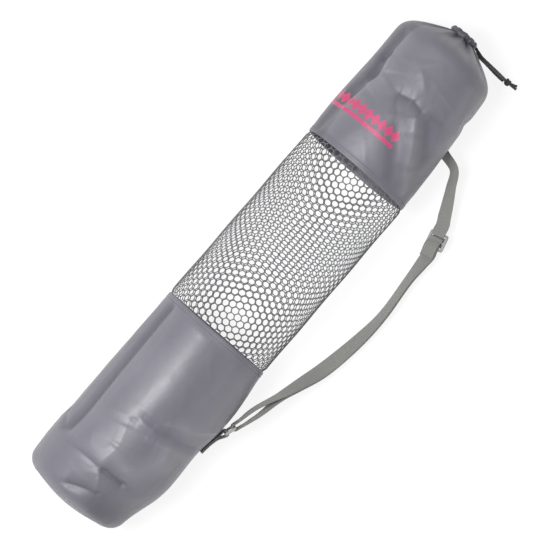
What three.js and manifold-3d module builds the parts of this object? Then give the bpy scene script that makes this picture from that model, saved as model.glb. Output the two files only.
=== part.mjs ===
// A drawstring bag for a rolled exercise mat, lying on its side with its shoulder strap beside it.
// X runs along the bag from its base to its mouth, Z is up, and the strap lies on the -Y side.
import * as THREE from 'three';
import { mergeVertices } from 'three/addons/utils/BufferGeometryUtils.js';
import Module from 'manifold-3d';

const wasm = await Module();
wasm.setup();

// The bag's body, in millimetres.
const bagRadius = 67.5;
const baseRadius = 50;
const baseBulge = 7;
const baseCorner = 16;
const bottomLength = 243;
const netLength = 235;
const topLength = 157;
const wall = 1.5;
const seamGap = 0.3;
const clothClearance = 0.45;
const floorSink = 5;

// The gathered end round the mouth.
const rimCorner = 9;
const coneRise = 22;
const neckRadius = 17;
const collarRadius = 18.5;
const collarLength = 6.5;
const hemThickness = 2.6;
const pleatCount = 10;
const pleatHeight = 2;

// The net's six-sided holes.
const netColumns = 14;
const netStrand = 4.5;
const netBorder = 7;

// The webbing, and where its two ends are sewn to the bag.
const webbingWidth = 20;
const webbingThickness = 1.3;
const webbingGap = 0.4;
const strapReach = 60;
const anchorPastNet = 84;
const anchorLength = 26;
const anchorAngle = 118;
const tabLength = 34;
const tabAngle = 97;
const tailLength = 12;

// The ring and the slider, which both keep this clearance to the webbing in them.
const fittingClearance = 0.4;
const fittingBar = 3;
const ringOpening = 9;
const ringBeforeNet = 66;
const ringOffBag = 5.5;
const sliderThickness = 2.6;
const sliderBeforeAnchor = 107;
const fittingCorner = 3;

// The drawstring.
const cordDiameter = 3.6;
const knotTurn = 2.9;
const knotHeight = 4.7;
const cordTail = 9;
const cordClearance = 0.5;

// How finely round shapes are divided.
const bagSegments = 40;
const bottomStations = 12;
const topStations = 9;
const cornerSteps = 4;
const domeSteps = 2;
const netSegments = 2 * netColumns;
const cordSides = 8;
const knotSides = 6;
const knotSteps = 9;
const webbingStep = 9;

const degrees = Math.PI / 180;
const netStart = baseBulge + bottomLength;
const topStart = netStart + netLength;
const rimStart = topStart + topLength;
const layerPitch = webbingThickness + webbingGap;
const up = new THREE.Vector3(0, 0, 1);

// The outline seen from above, a row for each section: at is a share of the panel's length, radius
// is a share of bagRadius, and side is a shift towards the strap as a share of bagRadius.
const bottomOutline = [
  { at: 0.0, radius: 0.92, side: -0.052 },
  { at: 0.125, radius: 0.973, side: -0.03 },
  { at: 0.25, radius: 1.035, side: 0.024 },
  { at: 0.337, radius: 1.041, side: 0.052 },
  { at: 0.52, radius: 1.031, side: 0.036 },
  { at: 0.66, radius: 1.052, side: 0.06 },
  { at: 0.813, radius: 1.045, side: 0.052 },
  { at: 1.0, radius: 1.005, side: 0.011 },
];
const netOutline = [
  { at: 0.0, radius: 1.005, side: 0.011 },
  { at: 1.0, radius: 0.997, side: -0.018 },
];
const topOutline = [
  { at: 0.0, radius: 0.997, side: -0.018 },
  { at: 0.3, radius: 1.0, side: -0.049 },
  { at: 0.65, radius: 0.966, side: -0.062 },
  { at: 1.0, radius: 0.934, side: -0.104 },
];

// Ridges, and valleys with a height below nothing, that run from one point of a panel to another.
// at is a share of the panel's length, angle is in degrees from the top of the bag towards the
// strap, and width and height are shares of bagRadius.
const bottomFolds = [
  { at: 0.17, angle: -38, toAt: 0.18, toAngle: -2, width: 0.1, height: -0.05 },
  { at: 0.18, angle: -2, toAt: 0.21, toAngle: 30, width: 0.11, height: -0.06 },
  { at: 0.05, angle: -18, toAt: 0.12, toAngle: 26, width: 0.12, height: 0.04 },
  { at: 0.51, angle: 22, toAt: 0.67, toAngle: 78, width: 0.1, height: 0.04 },
  { at: 0.45, angle: 20, toAt: 0.52, toAngle: 76, width: 0.1, height: 0.04 },
  { at: 0.49, angle: 26, toAt: 0.58, toAngle: 72, width: 0.1, height: -0.04 },
  { at: 0.49, angle: -18, toAt: 0.49, toAngle: 22, width: 0.1, height: -0.03 },
  { at: 0.2, angle: -52, toAt: 0.96, toAngle: -56, width: 0.16, height: -0.022 },
];
const topFolds = [
  { at: 0.485, angle: -13, toAt: 0.55, toAngle: 18, width: 0.1, height: -0.045 },
  { at: 0.485, angle: 12, toAt: 0.4, toAngle: 31, width: 0.1, height: 0.045 },
  { at: 0.4, angle: 31, toAt: 0.1, toAngle: 59, width: 0.1, height: 0.045 },
  { at: 0.4, angle: 4, toAt: 0.16, toAngle: 34, width: 0.13, height: -0.035 },
  { at: 0.52, angle: 28, toAt: 0.3, toAngle: 60, width: 0.13, height: -0.035 },
  { at: 0.74, angle: 70, toAt: 0.74, toAngle: 96, width: 0.1, height: -0.03 },
  { at: 0.1, angle: -50, toAt: 0.95, toAngle: -44, width: 0.15, height: -0.02 },
];

// The webbing's way from the ring to where it is sewn on: along is a share of that way, out is a
// share of strapReach beyond the bag's side, rise is the height above where the webbing would
// rest, as a share of bagRadius, and tilt is in degrees, with the outer edge up.
const strapRoute = [
  { along: 0.115, out: 0.48, rise: 0.55, tilt: 74 },
  { along: 0.2, out: 0.66, rise: 0.32, tilt: 56 },
  { along: 0.29, out: 0.84, rise: 0.1, tilt: 40 },
  { along: 0.42, out: 0.98, rise: 0, tilt: 50 },
  { along: 0.52, out: 1.02, rise: 0, tilt: 64 },
  { along: 0.65, out: 0.95, rise: 0.01, tilt: 66 },
  { along: 0.73, out: 0.92, rise: 0.04, tilt: 50 },
  { along: 0.79, out: 0.86, rise: 0.06, tilt: 43 },
  { along: 0.85, out: 0.7, rise: 0.09, tilt: 45 },
  { along: 0.93, out: 0.41, rise: 0.16, tilt: 58 },
];

// The drawstring's two ends, from the hem to the knot: along is past the neck, side is from the
// bag's axis towards the strap, and height is above the floor, all in millimetres.
const knotPlace = { along: 4, side: 63, height: knotHeight };
const cordRoutes = [
  [
    { along: 0, side: 22, height: 53 },
    { along: 0.5, side: 34, height: 43 },
    { along: 2, side: 46, height: 27 },
    { along: 3, side: 55, height: 11 },
  ],
  [
    { along: 1, side: 13, height: 33 },
    { along: 1.8, side: 26, height: 22 },
    { along: 2.2, side: 38, height: 11 },
    { along: 2, side: 48, height: 4.6 },
    { along: 0.2, side: 55, height: 3 },
  ],
];
const cordExits = [
  { along: 3, angle: 108 },
  { along: 3, angle: 144 },
];

const panels = [
  { start: baseBulge, length: bottomLength, outline: bottomOutline, folds: bottomFolds },
  { start: netStart, length: netLength, outline: netOutline, folds: [] },
  { start: topStart, length: topLength, outline: topOutline, folds: topFolds },
];

// A smooth line through the rows of a table.
function between(rows, at, column) {
  const place = THREE.MathUtils.clamp(at, rows[0].at, rows[rows.length - 1].at);
  const next = Math.max(1, rows.findIndex((row) => row.at >= place));
  const slope = (index) => {
    const before = rows[Math.max(index - 1, 0)];
    const after = rows[Math.min(index + 1, rows.length - 1)];
    return (after[column] - before[column]) / (after.at - before.at);
  };
  const from = rows[next - 1];
  const to = rows[next];
  const share = (place - from.at) / (to.at - from.at);
  const bend = (1 - share) * slope(next - 1) - share * slope(next);
  const straight = THREE.MathUtils.lerp(from[column], to[column], THREE.MathUtils.smoothstep(share, 0, 1));
  return straight + (to.at - from.at) * share * (1 - share) * bend;
}

function panelAt(along) {
  if (along < netStart) {
    return panels[0];
  }
  return along < topStart ? panels[1] : panels[2];
}

// The height of all folds at a place on a panel. Folds die out at the panel's two seams.
function foldHeight(panel, along, angle) {
  const flat = (at, turn) => new THREE.Vector3(panel.start + at * panel.length, turn * bagRadius, 0);
  const point = new THREE.Vector3(along, Math.atan2(Math.sin(angle), Math.cos(angle)) * bagRadius, 0);
  const heights = panel.folds.map((fold) => {
    const crest = new THREE.Line3(
      flat(fold.at, fold.angle * degrees),
      flat(fold.toAt, fold.toAngle * degrees),
    );
    const nearest = crest.closestPointToPoint(point, true, new THREE.Vector3());
    const away = nearest.distanceTo(point) / (fold.width * bagRadius);
    return fold.height * bagRadius * Math.exp(-away * away);
  });
  const fromSeam = Math.min(along - panel.start, panel.start + panel.length - along);
  const share = THREE.MathUtils.smoothstep(fromSeam, 0, 0.2 * bagRadius);
  return share * heights.reduce((sum, height) => sum + height, 0);
}

// The gathers round the mouth, which grow from the rim to the neck.
function pleatAt(along, angle) {
  const share = THREE.MathUtils.smoothstep(along, rimStart, rimStart + rimCorner + coneRise);
  return pleatHeight * share * Math.cos(pleatCount * angle);
}

// A point of the bag from its place along the bag, its angle from the top towards the strap and
// its distance from the axis on a plain round bag. The cloth's underside is flat on the floor.
function bagPoint(along, angle, distance, lowest = 0) {
  const panel = panelAt(along);
  const at = (along - panel.start) / panel.length;
  const swell = between(panel.outline, at, 'radius');
  const pleat = pleatAt(along, angle);
  const fold = foldHeight(panel, along, angle) * Math.min(1, distance / bagRadius);
  const radius = distance * swell + fold + pleat * Math.min(1, distance / collarRadius);
  const axisHeight = bagRadius * swell - floorSink;
  return new THREE.Vector3(
    along + pleat / 2,
    -radius * Math.sin(angle) - between(panel.outline, at, 'side') * bagRadius,
    Math.max(lowest, axisHeight + radius * Math.cos(angle)),
  );
}

// A solid whose shared corners are merged.
function solidOf(geometry) {
  geometry.deleteAttribute('normal');
  geometry.deleteAttribute('uv');
  const merged = mergeVertices(geometry, 1e-4);
  return new wasm.Manifold(
    new wasm.Mesh({
      numProp: 3,
      vertProperties: new Float32Array(merged.attributes.position.array),
      triVerts: new Uint32Array(merged.index.array),
    }),
  );
}

function geometryOf(solid) {
  const mesh = solid.getMesh();
  const geometry = new THREE.BufferGeometry();
  geometry.setAttribute('position', new THREE.BufferAttribute(mesh.vertProperties, 3));
  geometry.setIndex(new THREE.BufferAttribute(mesh.triVerts, 1));
  return geometry;
}

// Moves each corner of a geometry to where the function puts it.
function shaped(geometry, place) {
  const corners = geometry.attributes.position;
  const corner = new THREE.Vector3();
  for (let index = 0; index < corners.count; index += 1) {
    corner.copy(place(corner.fromBufferAttribute(corners, index), index));
    corners.setXYZ(index, corner.x, corner.y, corner.z);
  }
  geometry.computeVertexNormals();
  return geometry;
}

// Turns a plain round shape about the Y axis into the bag's lumpy one. Where the cloth lies on the
// floor, its inner face stays a wall's thickness above it.
function asBag(geometry, isInner) {
  return shaped(geometry, (corner, index) => {
    const distance = Math.hypot(corner.x, corner.z);
    const angle = Math.atan2(corner.x, corner.z);
    return bagPoint(corner.y, angle, distance, isInner(distance, index) ? wall : 0);
  });
}

// A wall's closed section: its outer line, with a thickness at each point, and its inner line back.
function wallSection(outer) {
  const inner = outer.map((row, index) => {
    const before = outer[Math.max(index - 1, 0)];
    const after = outer[Math.min(index + 1, outer.length - 1)];
    const inward = new THREE.Vector2(before.along - after.along, after.radius - before.radius);
    inward.setLength(row.thick ?? wall);
    return new THREE.Vector2(row.radius, row.along).add(inward);
  });
  const outerPoints = outer.map((row) => new THREE.Vector2(row.radius, row.along));
  return [...outerPoints, ...inner.reverse(), outerPoints[0].clone()];
}

// A wall of the bag with that outer line.
function bagWall(outer) {
  const section = wallSection(outer);
  const isInner = (_, index) => {
    const row = index % section.length;
    return row >= outer.length && row < section.length - 1;
  };
  return asBag(new THREE.LatheGeometry(section, bagSegments), isInner);
}

function evenly(from, to, steps) {
  return Array.from({ length: steps + 1 }, (_, index) => from + ((to - from) * index) / steps);
}

// The round of cloth that closes the base end.
function basePanel() {
  const rim = baseRadius - 2 * seamGap;
  const domed = evenly(0, 1, domeSteps).map(
    (share) => new THREE.Vector2(rim * share, baseBulge * share * share),
  );
  const inner = domed.map((point) => new THREE.Vector2(point.x, point.y + wall)).reverse();
  return asBag(new THREE.LatheGeometry([...domed, ...inner], bagSegments), () => false);
}

// The tube of cloth from the base to the net, whose end is drawn in over the corner.
function bottomPanel() {
  const corner = evenly(90, 0, cornerSteps).map((angle) => ({
    along: baseBulge + baseCorner * (1 - Math.sin(angle * degrees)),
    radius: baseRadius + (bagRadius - baseRadius) * Math.cos(angle * degrees),
  }));
  const straight = evenly(baseBulge + baseCorner, netStart - seamGap, bottomStations)
    .slice(1)
    .map((along) => ({ along, radius: bagRadius }));
  return bagWall([...corner, ...straight]);
}

// The open net round the middle.
function netPanel() {
  const pitch = (2 * Math.PI * bagRadius) / netColumns;
  const rowPitch = (pitch * Math.sqrt(3)) / 2;
  const cellRadius = (pitch - netStrand) / Math.sqrt(3);
  const rows = 1 + Math.floor((netLength - 2 * netBorder - 2 * cellRadius) / rowPitch);
  const middle = netStart + netLength / 2;
  const tube = new THREE.LatheGeometry(
    wallSection([
      { along: netStart, radius: bagRadius },
      { along: topStart, radius: bagRadius },
    ]),
    netSegments,
  );
  const cells = [];
  for (let row = 0; row < rows; row += 1) {
    for (let column = 0; column < netColumns; column += 1) {
      const cell = new THREE.CylinderGeometry(cellRadius, cellRadius, bagRadius / 2, 6);
      cell.rotateX(-Math.PI / 2);
      cell.translate(0, middle + (row - (rows - 1) / 2) * rowPitch, bagRadius);
      cell.rotateY(((column + (row % 2) / 2) * 2 * Math.PI) / netColumns);
      cells.push(solidOf(cell));
    }
  }
  const holes = cells.reduce((joined, cell) => joined.add(cell));
  const isInner = (distance) => distance < bagRadius - wall / 2;
  return asBag(geometryOf(solidOf(tube).subtract(holes)), isInner);
}

// The tube of cloth from the net to the rim, the gathered cone and the hem round the mouth.
function topPanel() {
  const straight = evenly(topStart + seamGap, rimStart, topStations).map((along) => ({
    along,
    radius: bagRadius,
  }));
  const rim = evenly(0, 60, cornerSteps - 1)
    .slice(1)
    .map((angle) => ({
      along: rimStart + rimCorner * Math.sin(angle * degrees),
      radius: bagRadius - rimCorner * (1 - Math.cos(angle * degrees)),
    }));
  const rimEnd = rim[rim.length - 1];
  const cone = evenly(0, 1, cornerSteps)
    .slice(1)
    .map((share) => ({
      along: rimEnd.along + coneRise * share,
      radius: THREE.MathUtils.lerp(rimEnd.radius, neckRadius, share),
    }));
  const neck = rimEnd.along + coneRise;
  const hem = evenly(0, 1, 2)
    .slice(1)
    .map((share) => ({
      along: neck + collarLength * share,
      radius: collarRadius,
      thick: hemThickness,
    }));
  return bagWall([...straight, ...rim, ...cone, ...hem]);
}

// The line that the tab, the ring, the slider and the webbing lie along, in three dimensions.
const ringPlace = netStart - ringBeforeNet;
const anchorPlace = topStart + anchorPastNet;
const tabOffset = clothClearance + webbingThickness + webbingGap / 2;
const anchorOffset = clothClearance + webbingThickness / 2;
const anchorLift = 1.2;
const ringPitch = ringOpening + fittingBar;

function restingHeight(tilt) {
  const layers = (layerPitch + webbingThickness) / 2;
  return (webbingWidth / 2) * Math.sin(tilt) + layers * Math.cos(tilt) + clothClearance;
}

function strapStations() {
  const onBag = (along, angle, offset) => ({
    place: bagPoint(along, angle * degrees, bagRadius + offset),
    tilt: (180 - angle) * degrees,
  });
  const free = strapRoute.map((row) => {
    const tilt = row.tilt * degrees;
    const place = new THREE.Vector3(
      THREE.MathUtils.lerp(ringPlace, anchorPlace, row.along),
      -bagRadius - strapReach * row.out,
      restingHeight(tilt) + bagRadius * row.rise,
    );
    return { place, tilt };
  });
  return [
    onBag(ringPlace - ringPitch - tabLength, tabAngle, tabOffset),
    onBag(ringPlace - ringPitch - tabLength / 2, tabAngle, tabOffset),
    onBag(ringPlace - ringPitch, tabAngle, ringOffBag),
    onBag(ringPlace, tabAngle, ringOffBag + 3.5),
    ...free,
    onBag(anchorPlace, anchorAngle, anchorOffset + anchorLift),
    onBag(anchorPlace + anchorLength / 2, anchorAngle, anchorOffset),
    onBag(anchorPlace + anchorLength, anchorAngle, anchorOffset),
  ];
}

const stations = strapStations();
const strapLine = new THREE.CatmullRomCurve3(stations.map((station) => station.place));
const lineSteps = 24;
strapLine.arcLengthDivisions = lineSteps * (stations.length - 1);
const lineLengths = strapLine.getLengths();
const stationAt = (index) => lineLengths[index * lineSteps];
const tilts = stations.map((station, index) => ({ at: stationAt(index), tilt: station.tilt }));
const lineLength = lineLengths[lineLengths.length - 1];
const ringBarAt = stationAt(3);
const anchorAt = stationAt(stations.length - 3);
const sliderAt = anchorAt - sliderBeforeAnchor;

// The line's own axes at a distance along it: X along it, Y to the webbing's lower edge, Z out of
// the webbing's upper face.
function lineFrame(distance) {
  const share = THREE.MathUtils.clamp(distance / lineLength, 0, 1);
  const along = strapLine.getTangentAt(share);
  const outward = new THREE.Vector3().crossVectors(along, up).normalize();
  const rising = new THREE.Vector3().crossVectors(outward, along);
  const tilt = between(tilts, distance, 'tilt');
  const face = rising.clone().multiplyScalar(Math.cos(tilt)).addScaledVector(outward, -Math.sin(tilt));
  const lower = new THREE.Vector3().crossVectors(face, along);
  return new THREE.Matrix4().makeBasis(along, lower, face).setPosition(strapLine.getPointAt(share));
}

// The webbing runs straight through each fitting and follows the line elsewhere.
const fittings = [
  { at: ringBarAt - ringPitch / 2, hold: ringPitch },
  { at: sliderAt, hold: 14 },
].map((fitting) => ({ ...fitting, frame: lineFrame(fitting.at) }));
const easing = 15;

function onLine(distance, across, height) {
  const place = new THREE.Vector3(0, across, height).applyMatrix4(lineFrame(distance));
  fittings.forEach((fitting) => {
    const away = distance - fitting.at;
    const rigid = new THREE.Vector3(away, across, height).applyMatrix4(fitting.frame);
    const free = THREE.MathUtils.smoothstep(Math.abs(away), fitting.hold, fitting.hold + easing);
    place.lerp(rigid, 1 - free);
  });
  return place;
}

// Points round a bend in the webbing, in the plane along the line and out of its face.
function bend(centreX, centreY, radius, fromAngle, toAngle) {
  const steps = Math.ceil(Math.abs(toAngle - fromAngle) / 45);
  return evenly(fromAngle, toAngle, steps).map(
    (angle) =>
      new THREE.Vector2(
        centreX + radius * Math.cos(angle * degrees),
        centreY + radius * Math.sin(angle * degrees),
      ),
  );
}

// Points from one place to another whose height eases from the one to the other.
function easedRun(from, to) {
  const steps = Math.max(1, Math.round(Math.abs(to.x - from.x) / webbingStep));
  return evenly(0, 1, steps).map(
    (share) =>
      new THREE.Vector2(
        THREE.MathUtils.lerp(from.x, to.x, share),
        THREE.MathUtils.lerp(from.y, to.y, THREE.MathUtils.smoothstep(share, 0, 1)),
      ),
  );
}

// A length of webbing whose middle follows a route in that plane.
function webbingAlong(points) {
  const route = points.filter((point, index) => index === 0 || point.distanceTo(points[index - 1]) > 0.01);
  const last = route.length - 1;
  const normals = route.map((_, index) => {
    const before = route[Math.max(index - 1, 0)];
    const after = route[Math.min(index + 1, last)];
    return new THREE.Vector2(before.y - after.y, after.x - before.x).normalize();
  });
  const band = new THREE.BoxGeometry(last, webbingWidth, webbingThickness, last, 1, 1);
  return shaped(band, (corner) => {
    const index = Math.round(corner.x + last / 2);
    const point = route[index].clone().addScaledVector(normals[index], corner.z);
    return onLine(point.x, corner.y, point.y);
  });
}

// The heights of the webbing's layers over a bar, and where it turns round the slider's bars.
const overBar = (layer, barThickness) =>
  barThickness / 2 + fittingClearance + webbingThickness / 2 + layer * layerPitch;
const ringTurn = fittingBar / Math.SQRT2 + fittingClearance + webbingThickness / 2;
const bendInset = 0.5;
const bendDrop = sliderThickness / 4;
const innerTurn = overBar(0, sliderThickness) - bendDrop;
const innerCentre = fittingBar / 2 + bendInset;
const outerTurn = overBar(0, sliderThickness);
const outerCentre = innerCentre + innerTurn + layerPitch + outerTurn;
const sliderOpening = outerCentre - bendInset - fittingBar / 2;
const sliderHalf = fittingBar * 1.5 + sliderOpening;
const easeIn = 18;
const loopOpen = 2.6 * layerPitch;
const loopWidest = 28;
const loopCloses = 70;

// The one strap: sewn to the top panel, through the slider, round the ring, and back to the
// slider's middle bar, where its tail is sewn down.
function shoulderStrap() {
  const flat = layerPitch / 2;
  const at = (fromSlider, height) => new THREE.Vector2(sliderAt + fromSlider, height);
  const ring = (fromBar, height) => new THREE.Vector2(ringBarAt + fromBar, height);
  const over = (layer) => overBar(layer, sliderThickness);
  const wayDown = easedRun(at(-sliderHalf, over(2)), at(-sliderHalf - easeIn, flat + layerPitch));
  const tail = wayDown.slice(0, Math.round((wayDown.length - 1) * (tailLength / easeIn)) + 1);
  const running = [
    ...easedRun(new THREE.Vector2(lineLength, 0), at(sliderHalf + easeIn, 0)),
    ...easedRun(at(sliderHalf + easeIn, 0), at(sliderHalf, over(0))),
    ...bend(sliderAt + outerCentre, 0, outerTurn, 90, 180),
    ...bend(sliderAt + innerCentre, -bendDrop, innerTurn + layerPitch, 0, -90),
    ...bend(sliderAt - innerCentre, -bendDrop, innerTurn + layerPitch, -90, -180),
    ...bend(sliderAt - outerCentre, 0, outerTurn, 0, 90),
    ...easedRun(at(-sliderHalf, over(0)), at(-sliderHalf - easeIn, -flat)),
    ...easedRun(at(-sliderHalf - easeIn, -flat), ring(loopCloses, -flat)),
    ...easedRun(ring(loopCloses, -flat), ring(loopWidest, -loopOpen)),
    ...easedRun(ring(loopWidest, -loopOpen), ring(0, -ringTurn)),
  ];
  const returning = [
    ...easedRun(ring(0, ringTurn), ring(loopWidest, loopOpen)),
    ...easedRun(ring(loopWidest, loopOpen), ring(loopCloses, flat)),
    ...easedRun(ring(loopCloses, flat), at(-sliderHalf - easeIn, flat)),
    ...easedRun(at(-sliderHalf - easeIn, flat), at(-sliderHalf, over(1))),
    ...bend(sliderAt - outerCentre, 0, outerTurn + layerPitch, 90, 0),
    ...bend(sliderAt - innerCentre, -bendDrop, innerTurn, -180, -90),
    ...bend(sliderAt + innerCentre, -bendDrop, innerTurn, -90, 0),
    ...bend(sliderAt + innerCentre, bendDrop, innerTurn, 0, 90),
    at(0, over(0)),
    at(-innerCentre - innerTurn, over(1) + bendDrop),
    at(-outerCentre, over(2)),
    ...tail,
  ];
  return webbingAlong([...running, ...bend(ringBarAt, 0, ringTurn, 270, 90), ...returning]);
}

// The doubled tab, sewn to the bottom panel, whose fold holds the ring's other bar.
function ringTab() {
  const flat = layerPitch / 2;
  const bar = ringBarAt - ringPitch;
  const closes = bar - tabLength / 3;
  const root = bar - tabLength;
  return webbingAlong([
    ...easedRun(new THREE.Vector2(root, -flat), new THREE.Vector2(closes, -flat)),
    ...easedRun(new THREE.Vector2(closes, -flat), new THREE.Vector2(bar, -ringTurn)),
    ...bend(bar, 0, ringTurn, -90, 90),
    ...easedRun(new THREE.Vector2(bar, ringTurn), new THREE.Vector2(closes, flat)),
    ...easedRun(new THREE.Vector2(closes, flat), new THREE.Vector2(root, flat)),
  ]);
}

function roundedRectangle(Outline, length, width, corner) {
  const outline = new Outline();
  const across = length / 2 - corner;
  const high = width / 2 - corner;
  outline.absarc(across, high, corner, 0, 90 * degrees);
  outline.absarc(-across, high, corner, 90 * degrees, 180 * degrees);
  outline.absarc(-across, -high, corner, 180 * degrees, 270 * degrees);
  outline.absarc(across, -high, corner, 270 * degrees, 360 * degrees);
  outline.closePath();
  return outline;
}

// A flat frame with one or more openings for the webbing, each with its middle at a place.
function frameOf(openings, opening, length, thickness, fitting) {
  const inside = webbingWidth + 4 * fittingClearance;
  const outline = roundedRectangle(THREE.Shape, length, inside + 2 * fittingBar, fittingCorner);
  openings.forEach((middle) => {
    const hole = roundedRectangle(THREE.Path, opening, inside, fittingBar / 4);
    const points = hole.getPoints(1).map((point) => point.add(new THREE.Vector2(middle, 0)));
    outline.holes.push(new THREE.Path(points));
  });
  const frame = new THREE.ExtrudeGeometry(outline, {
    depth: thickness,
    bevelEnabled: false,
    curveSegments: 3,
  });
  return frame.translate(0, 0, -thickness / 2).applyMatrix4(fitting.frame);
}

function strapRing() {
  return frameOf([0], ringOpening, ringPitch + fittingBar, fittingBar, fittings[0]);
}

function strapSlider() {
  const middle = (fittingBar + sliderOpening) / 2;
  return frameOf([-middle, middle], sliderOpening, 2 * sliderHalf, sliderThickness, fittings[1]);
}

// A cord of round section along a smooth line through its points.
function cordAlong(points) {
  const section = new THREE.Shape();
  section.absarc(0, 0, cordDiameter / 2, 0, 360 * degrees);
  const line = new THREE.CatmullRomCurve3(points);
  return new THREE.ExtrudeGeometry(section, {
    steps: Math.ceil(line.getLength() / (2 * cordDiameter)),
    curveSegments: cordSides / 2,
    extrudePath: line,
  });
}

const neckPlace = rimStart + rimCorner * Math.sin(60 * degrees) + coneRise;

function besideNeck(point) {
  return new THREE.Vector3(neckPlace + point.along, -point.side, point.height);
}

function drawstring(route, exit) {
  const turn = exit.angle * degrees;
  const start = bagPoint(neckPlace + exit.along, turn, collarRadius + cordClearance);
  const knot = besideNeck(knotPlace);
  const points = [start, ...route.map(besideNeck)];
  const last = points[points.length - 1];
  const reach = knotTurn + cordDiameter / 2 + clothClearance;
  const end = knot.clone().addScaledVector(last.clone().sub(knot).normalize(), reach);
  return cordAlong([...points.slice(0, -1), end]);
}

// The knot's turns and the short tail beyond it.
function drawstringKnot() {
  const turns = evenly(0, 120, 2).map((angle) => {
    const turn = new THREE.TorusGeometry(knotTurn, cordDiameter / 2, knotSides, knotSteps);
    turn.rotateX(55 * degrees);
    turn.rotateZ(angle * degrees);
    return solidOf(turn);
  });
  const middle = new THREE.SphereGeometry(knotTurn, 8, 6);
  const tail = cordAlong([
    new THREE.Vector3(0, 0, 0),
    new THREE.Vector3(1, -knotTurn - cordTail / 2, cordDiameter / 2 - knotHeight),
    new THREE.Vector3(2, -knotTurn - cordTail, cordDiameter / 2 - knotHeight),
  ]);
  const knot = [...turns, solidOf(tail)].reduce((joined, turn) => joined.add(turn), solidOf(middle));
  const place = besideNeck(knotPlace);
  return geometryOf(knot).translate(place.x, place.y, place.z);
}

function clothMaterial(color, roughness) {
  return new THREE.MeshStandardMaterial({ color, roughness, metalness: 0 });
}

const fabric = clothMaterial(0x8f8d99, 0.5);
const netting = clothMaterial(0x33363a, 0.7);
const webbing = clothMaterial(0x91928e, 0.75);
const plastic = clothMaterial(0xa9aba8, 0.35);
const cordYarn = clothMaterial(0x434347, 0.8);

const bag = new THREE.Group();

function addPiece([name, geometry, material]) {
  const piece = new THREE.Mesh(geometry, material.clone());
  piece.name = name;
  bag.add(piece);
}

[
  ['base_panel', basePanel(), fabric],
  ['bottom_panel', bottomPanel(), fabric],
  ['net_panel', netPanel(), netting],
  ['top_panel', topPanel(), fabric],
  ['ring_tab', ringTab(), webbing],
  ['strap_ring', strapRing(), plastic],
  ['shoulder_strap', shoulderStrap(), webbing],
  ['strap_slider', strapSlider(), plastic],
].forEach(addPiece);

// The origin is on the floor under the middle of the bag and its strap, whatever its cord does.
const middle = new THREE.Box3().setFromObject(bag).getCenter(new THREE.Vector3());
bag.position.set(-middle.x, -middle.y, 0);

[
  ['drawstring_1', drawstring(cordRoutes[0], cordExits[0]), cordYarn],
  ['drawstring_2', drawstring(cordRoutes[1], cordExits[1]), cordYarn],
  ['drawstring_knot', drawstringKnot(), cordYarn],
].forEach(addPiece);

export default bag;
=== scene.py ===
import math

import bmesh
import bpy
import numpy as np
from mathutils import Matrix, Vector, noise


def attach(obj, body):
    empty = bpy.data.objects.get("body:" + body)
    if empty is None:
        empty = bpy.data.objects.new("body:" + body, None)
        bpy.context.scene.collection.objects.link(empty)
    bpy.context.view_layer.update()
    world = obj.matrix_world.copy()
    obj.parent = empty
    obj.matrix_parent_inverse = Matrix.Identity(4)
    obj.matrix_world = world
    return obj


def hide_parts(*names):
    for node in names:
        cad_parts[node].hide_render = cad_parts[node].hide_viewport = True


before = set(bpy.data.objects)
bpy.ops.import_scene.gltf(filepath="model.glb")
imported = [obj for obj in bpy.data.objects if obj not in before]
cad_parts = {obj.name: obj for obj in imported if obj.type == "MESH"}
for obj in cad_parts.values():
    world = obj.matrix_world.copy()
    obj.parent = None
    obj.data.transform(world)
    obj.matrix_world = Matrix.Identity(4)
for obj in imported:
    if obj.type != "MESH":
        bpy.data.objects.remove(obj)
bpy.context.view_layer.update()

# Everything is worked out in millimetres, with X along the bag from its base, and is moved into the
# frame and turned into metres when a piece is made.
MM = 0.001
FRAME_SHIFT = np.array([-339.647, 31.944, 0.0])
DEGREES = math.pi / 180
TURN = 2 * math.pi

# The bag's body.
BAG_RADIUS = 67.5
BASE_RADIUS = 50.0
BASE_BULGE = 7.0
BASE_CORNER = 16.0
NET_START = 250.0
TOP_START = 485.0
RIM_START = 642.0
CLOTH = 0.9
HEM = 1.7
HEM_WIDTH = 7.0
SEAM_GAP = 0.3
FLOOR_SINK = 5.0
FLOOR_SOFTNESS = 1.2
HEM_STEP = 3
HEM_LIFTS = 0.35
EDGE_ROLL = 0.4
CLOTH_COLUMNS = 300
BASE_COLUMNS = 144
BASE_ROWS = 26
BASE_GAP = 0.4
BASE_GATHERS = 34
BASE_GATHER_HEIGHT = 0.5

# The gathered end round the mouth.
RIM_CORNER = 9.0
CONE_RISE = 22.0
NECK_RADIUS = 17.0
COLLAR_RADIUS = 18.5
COLLAR_LENGTH = 6.5
COLLAR_THICKNESS = 2.6
PLEATS = 10
PLEAT_HEIGHT = 2.0
FINE_PLEATS = 23
FINE_PLEAT_HEIGHT = 0.8
PLEAT_WAVER = 0.6
HEM_HOLDS = 0.7
HEM_HOLDS_BEFORE = 3
HEM_HOLDS_OVER = 4
SHOULDER_REACH = 8
CONE_GUIDE = (13, 12.5)
COLLAR_BULGE = 1.6
COLLAR_CLOSES = 1.2
COLLAR_INSET = 0.4
NECK_PLACE = RIM_START + RIM_CORNER * math.sin(60 * DEGREES) + CONE_RISE

# The net. Its cells are in columns along the bag, each half a cell on from the next.
NET_COLUMNS = 60
NET_ROWS = 30
NET_STRAND = 0.95
NET_UNDER = 5.0
NET_TUCK = 1.9
NET_TUCK_OVER = 7
NET_CLEARANCE = 0.2
NET_SWAY = 0.5
CELL_POINTS = 12
HOLE_CORNER = 1.09
STRAND_HEIGHTS = (0.5, 0.16, -0.2, -0.4)

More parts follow.
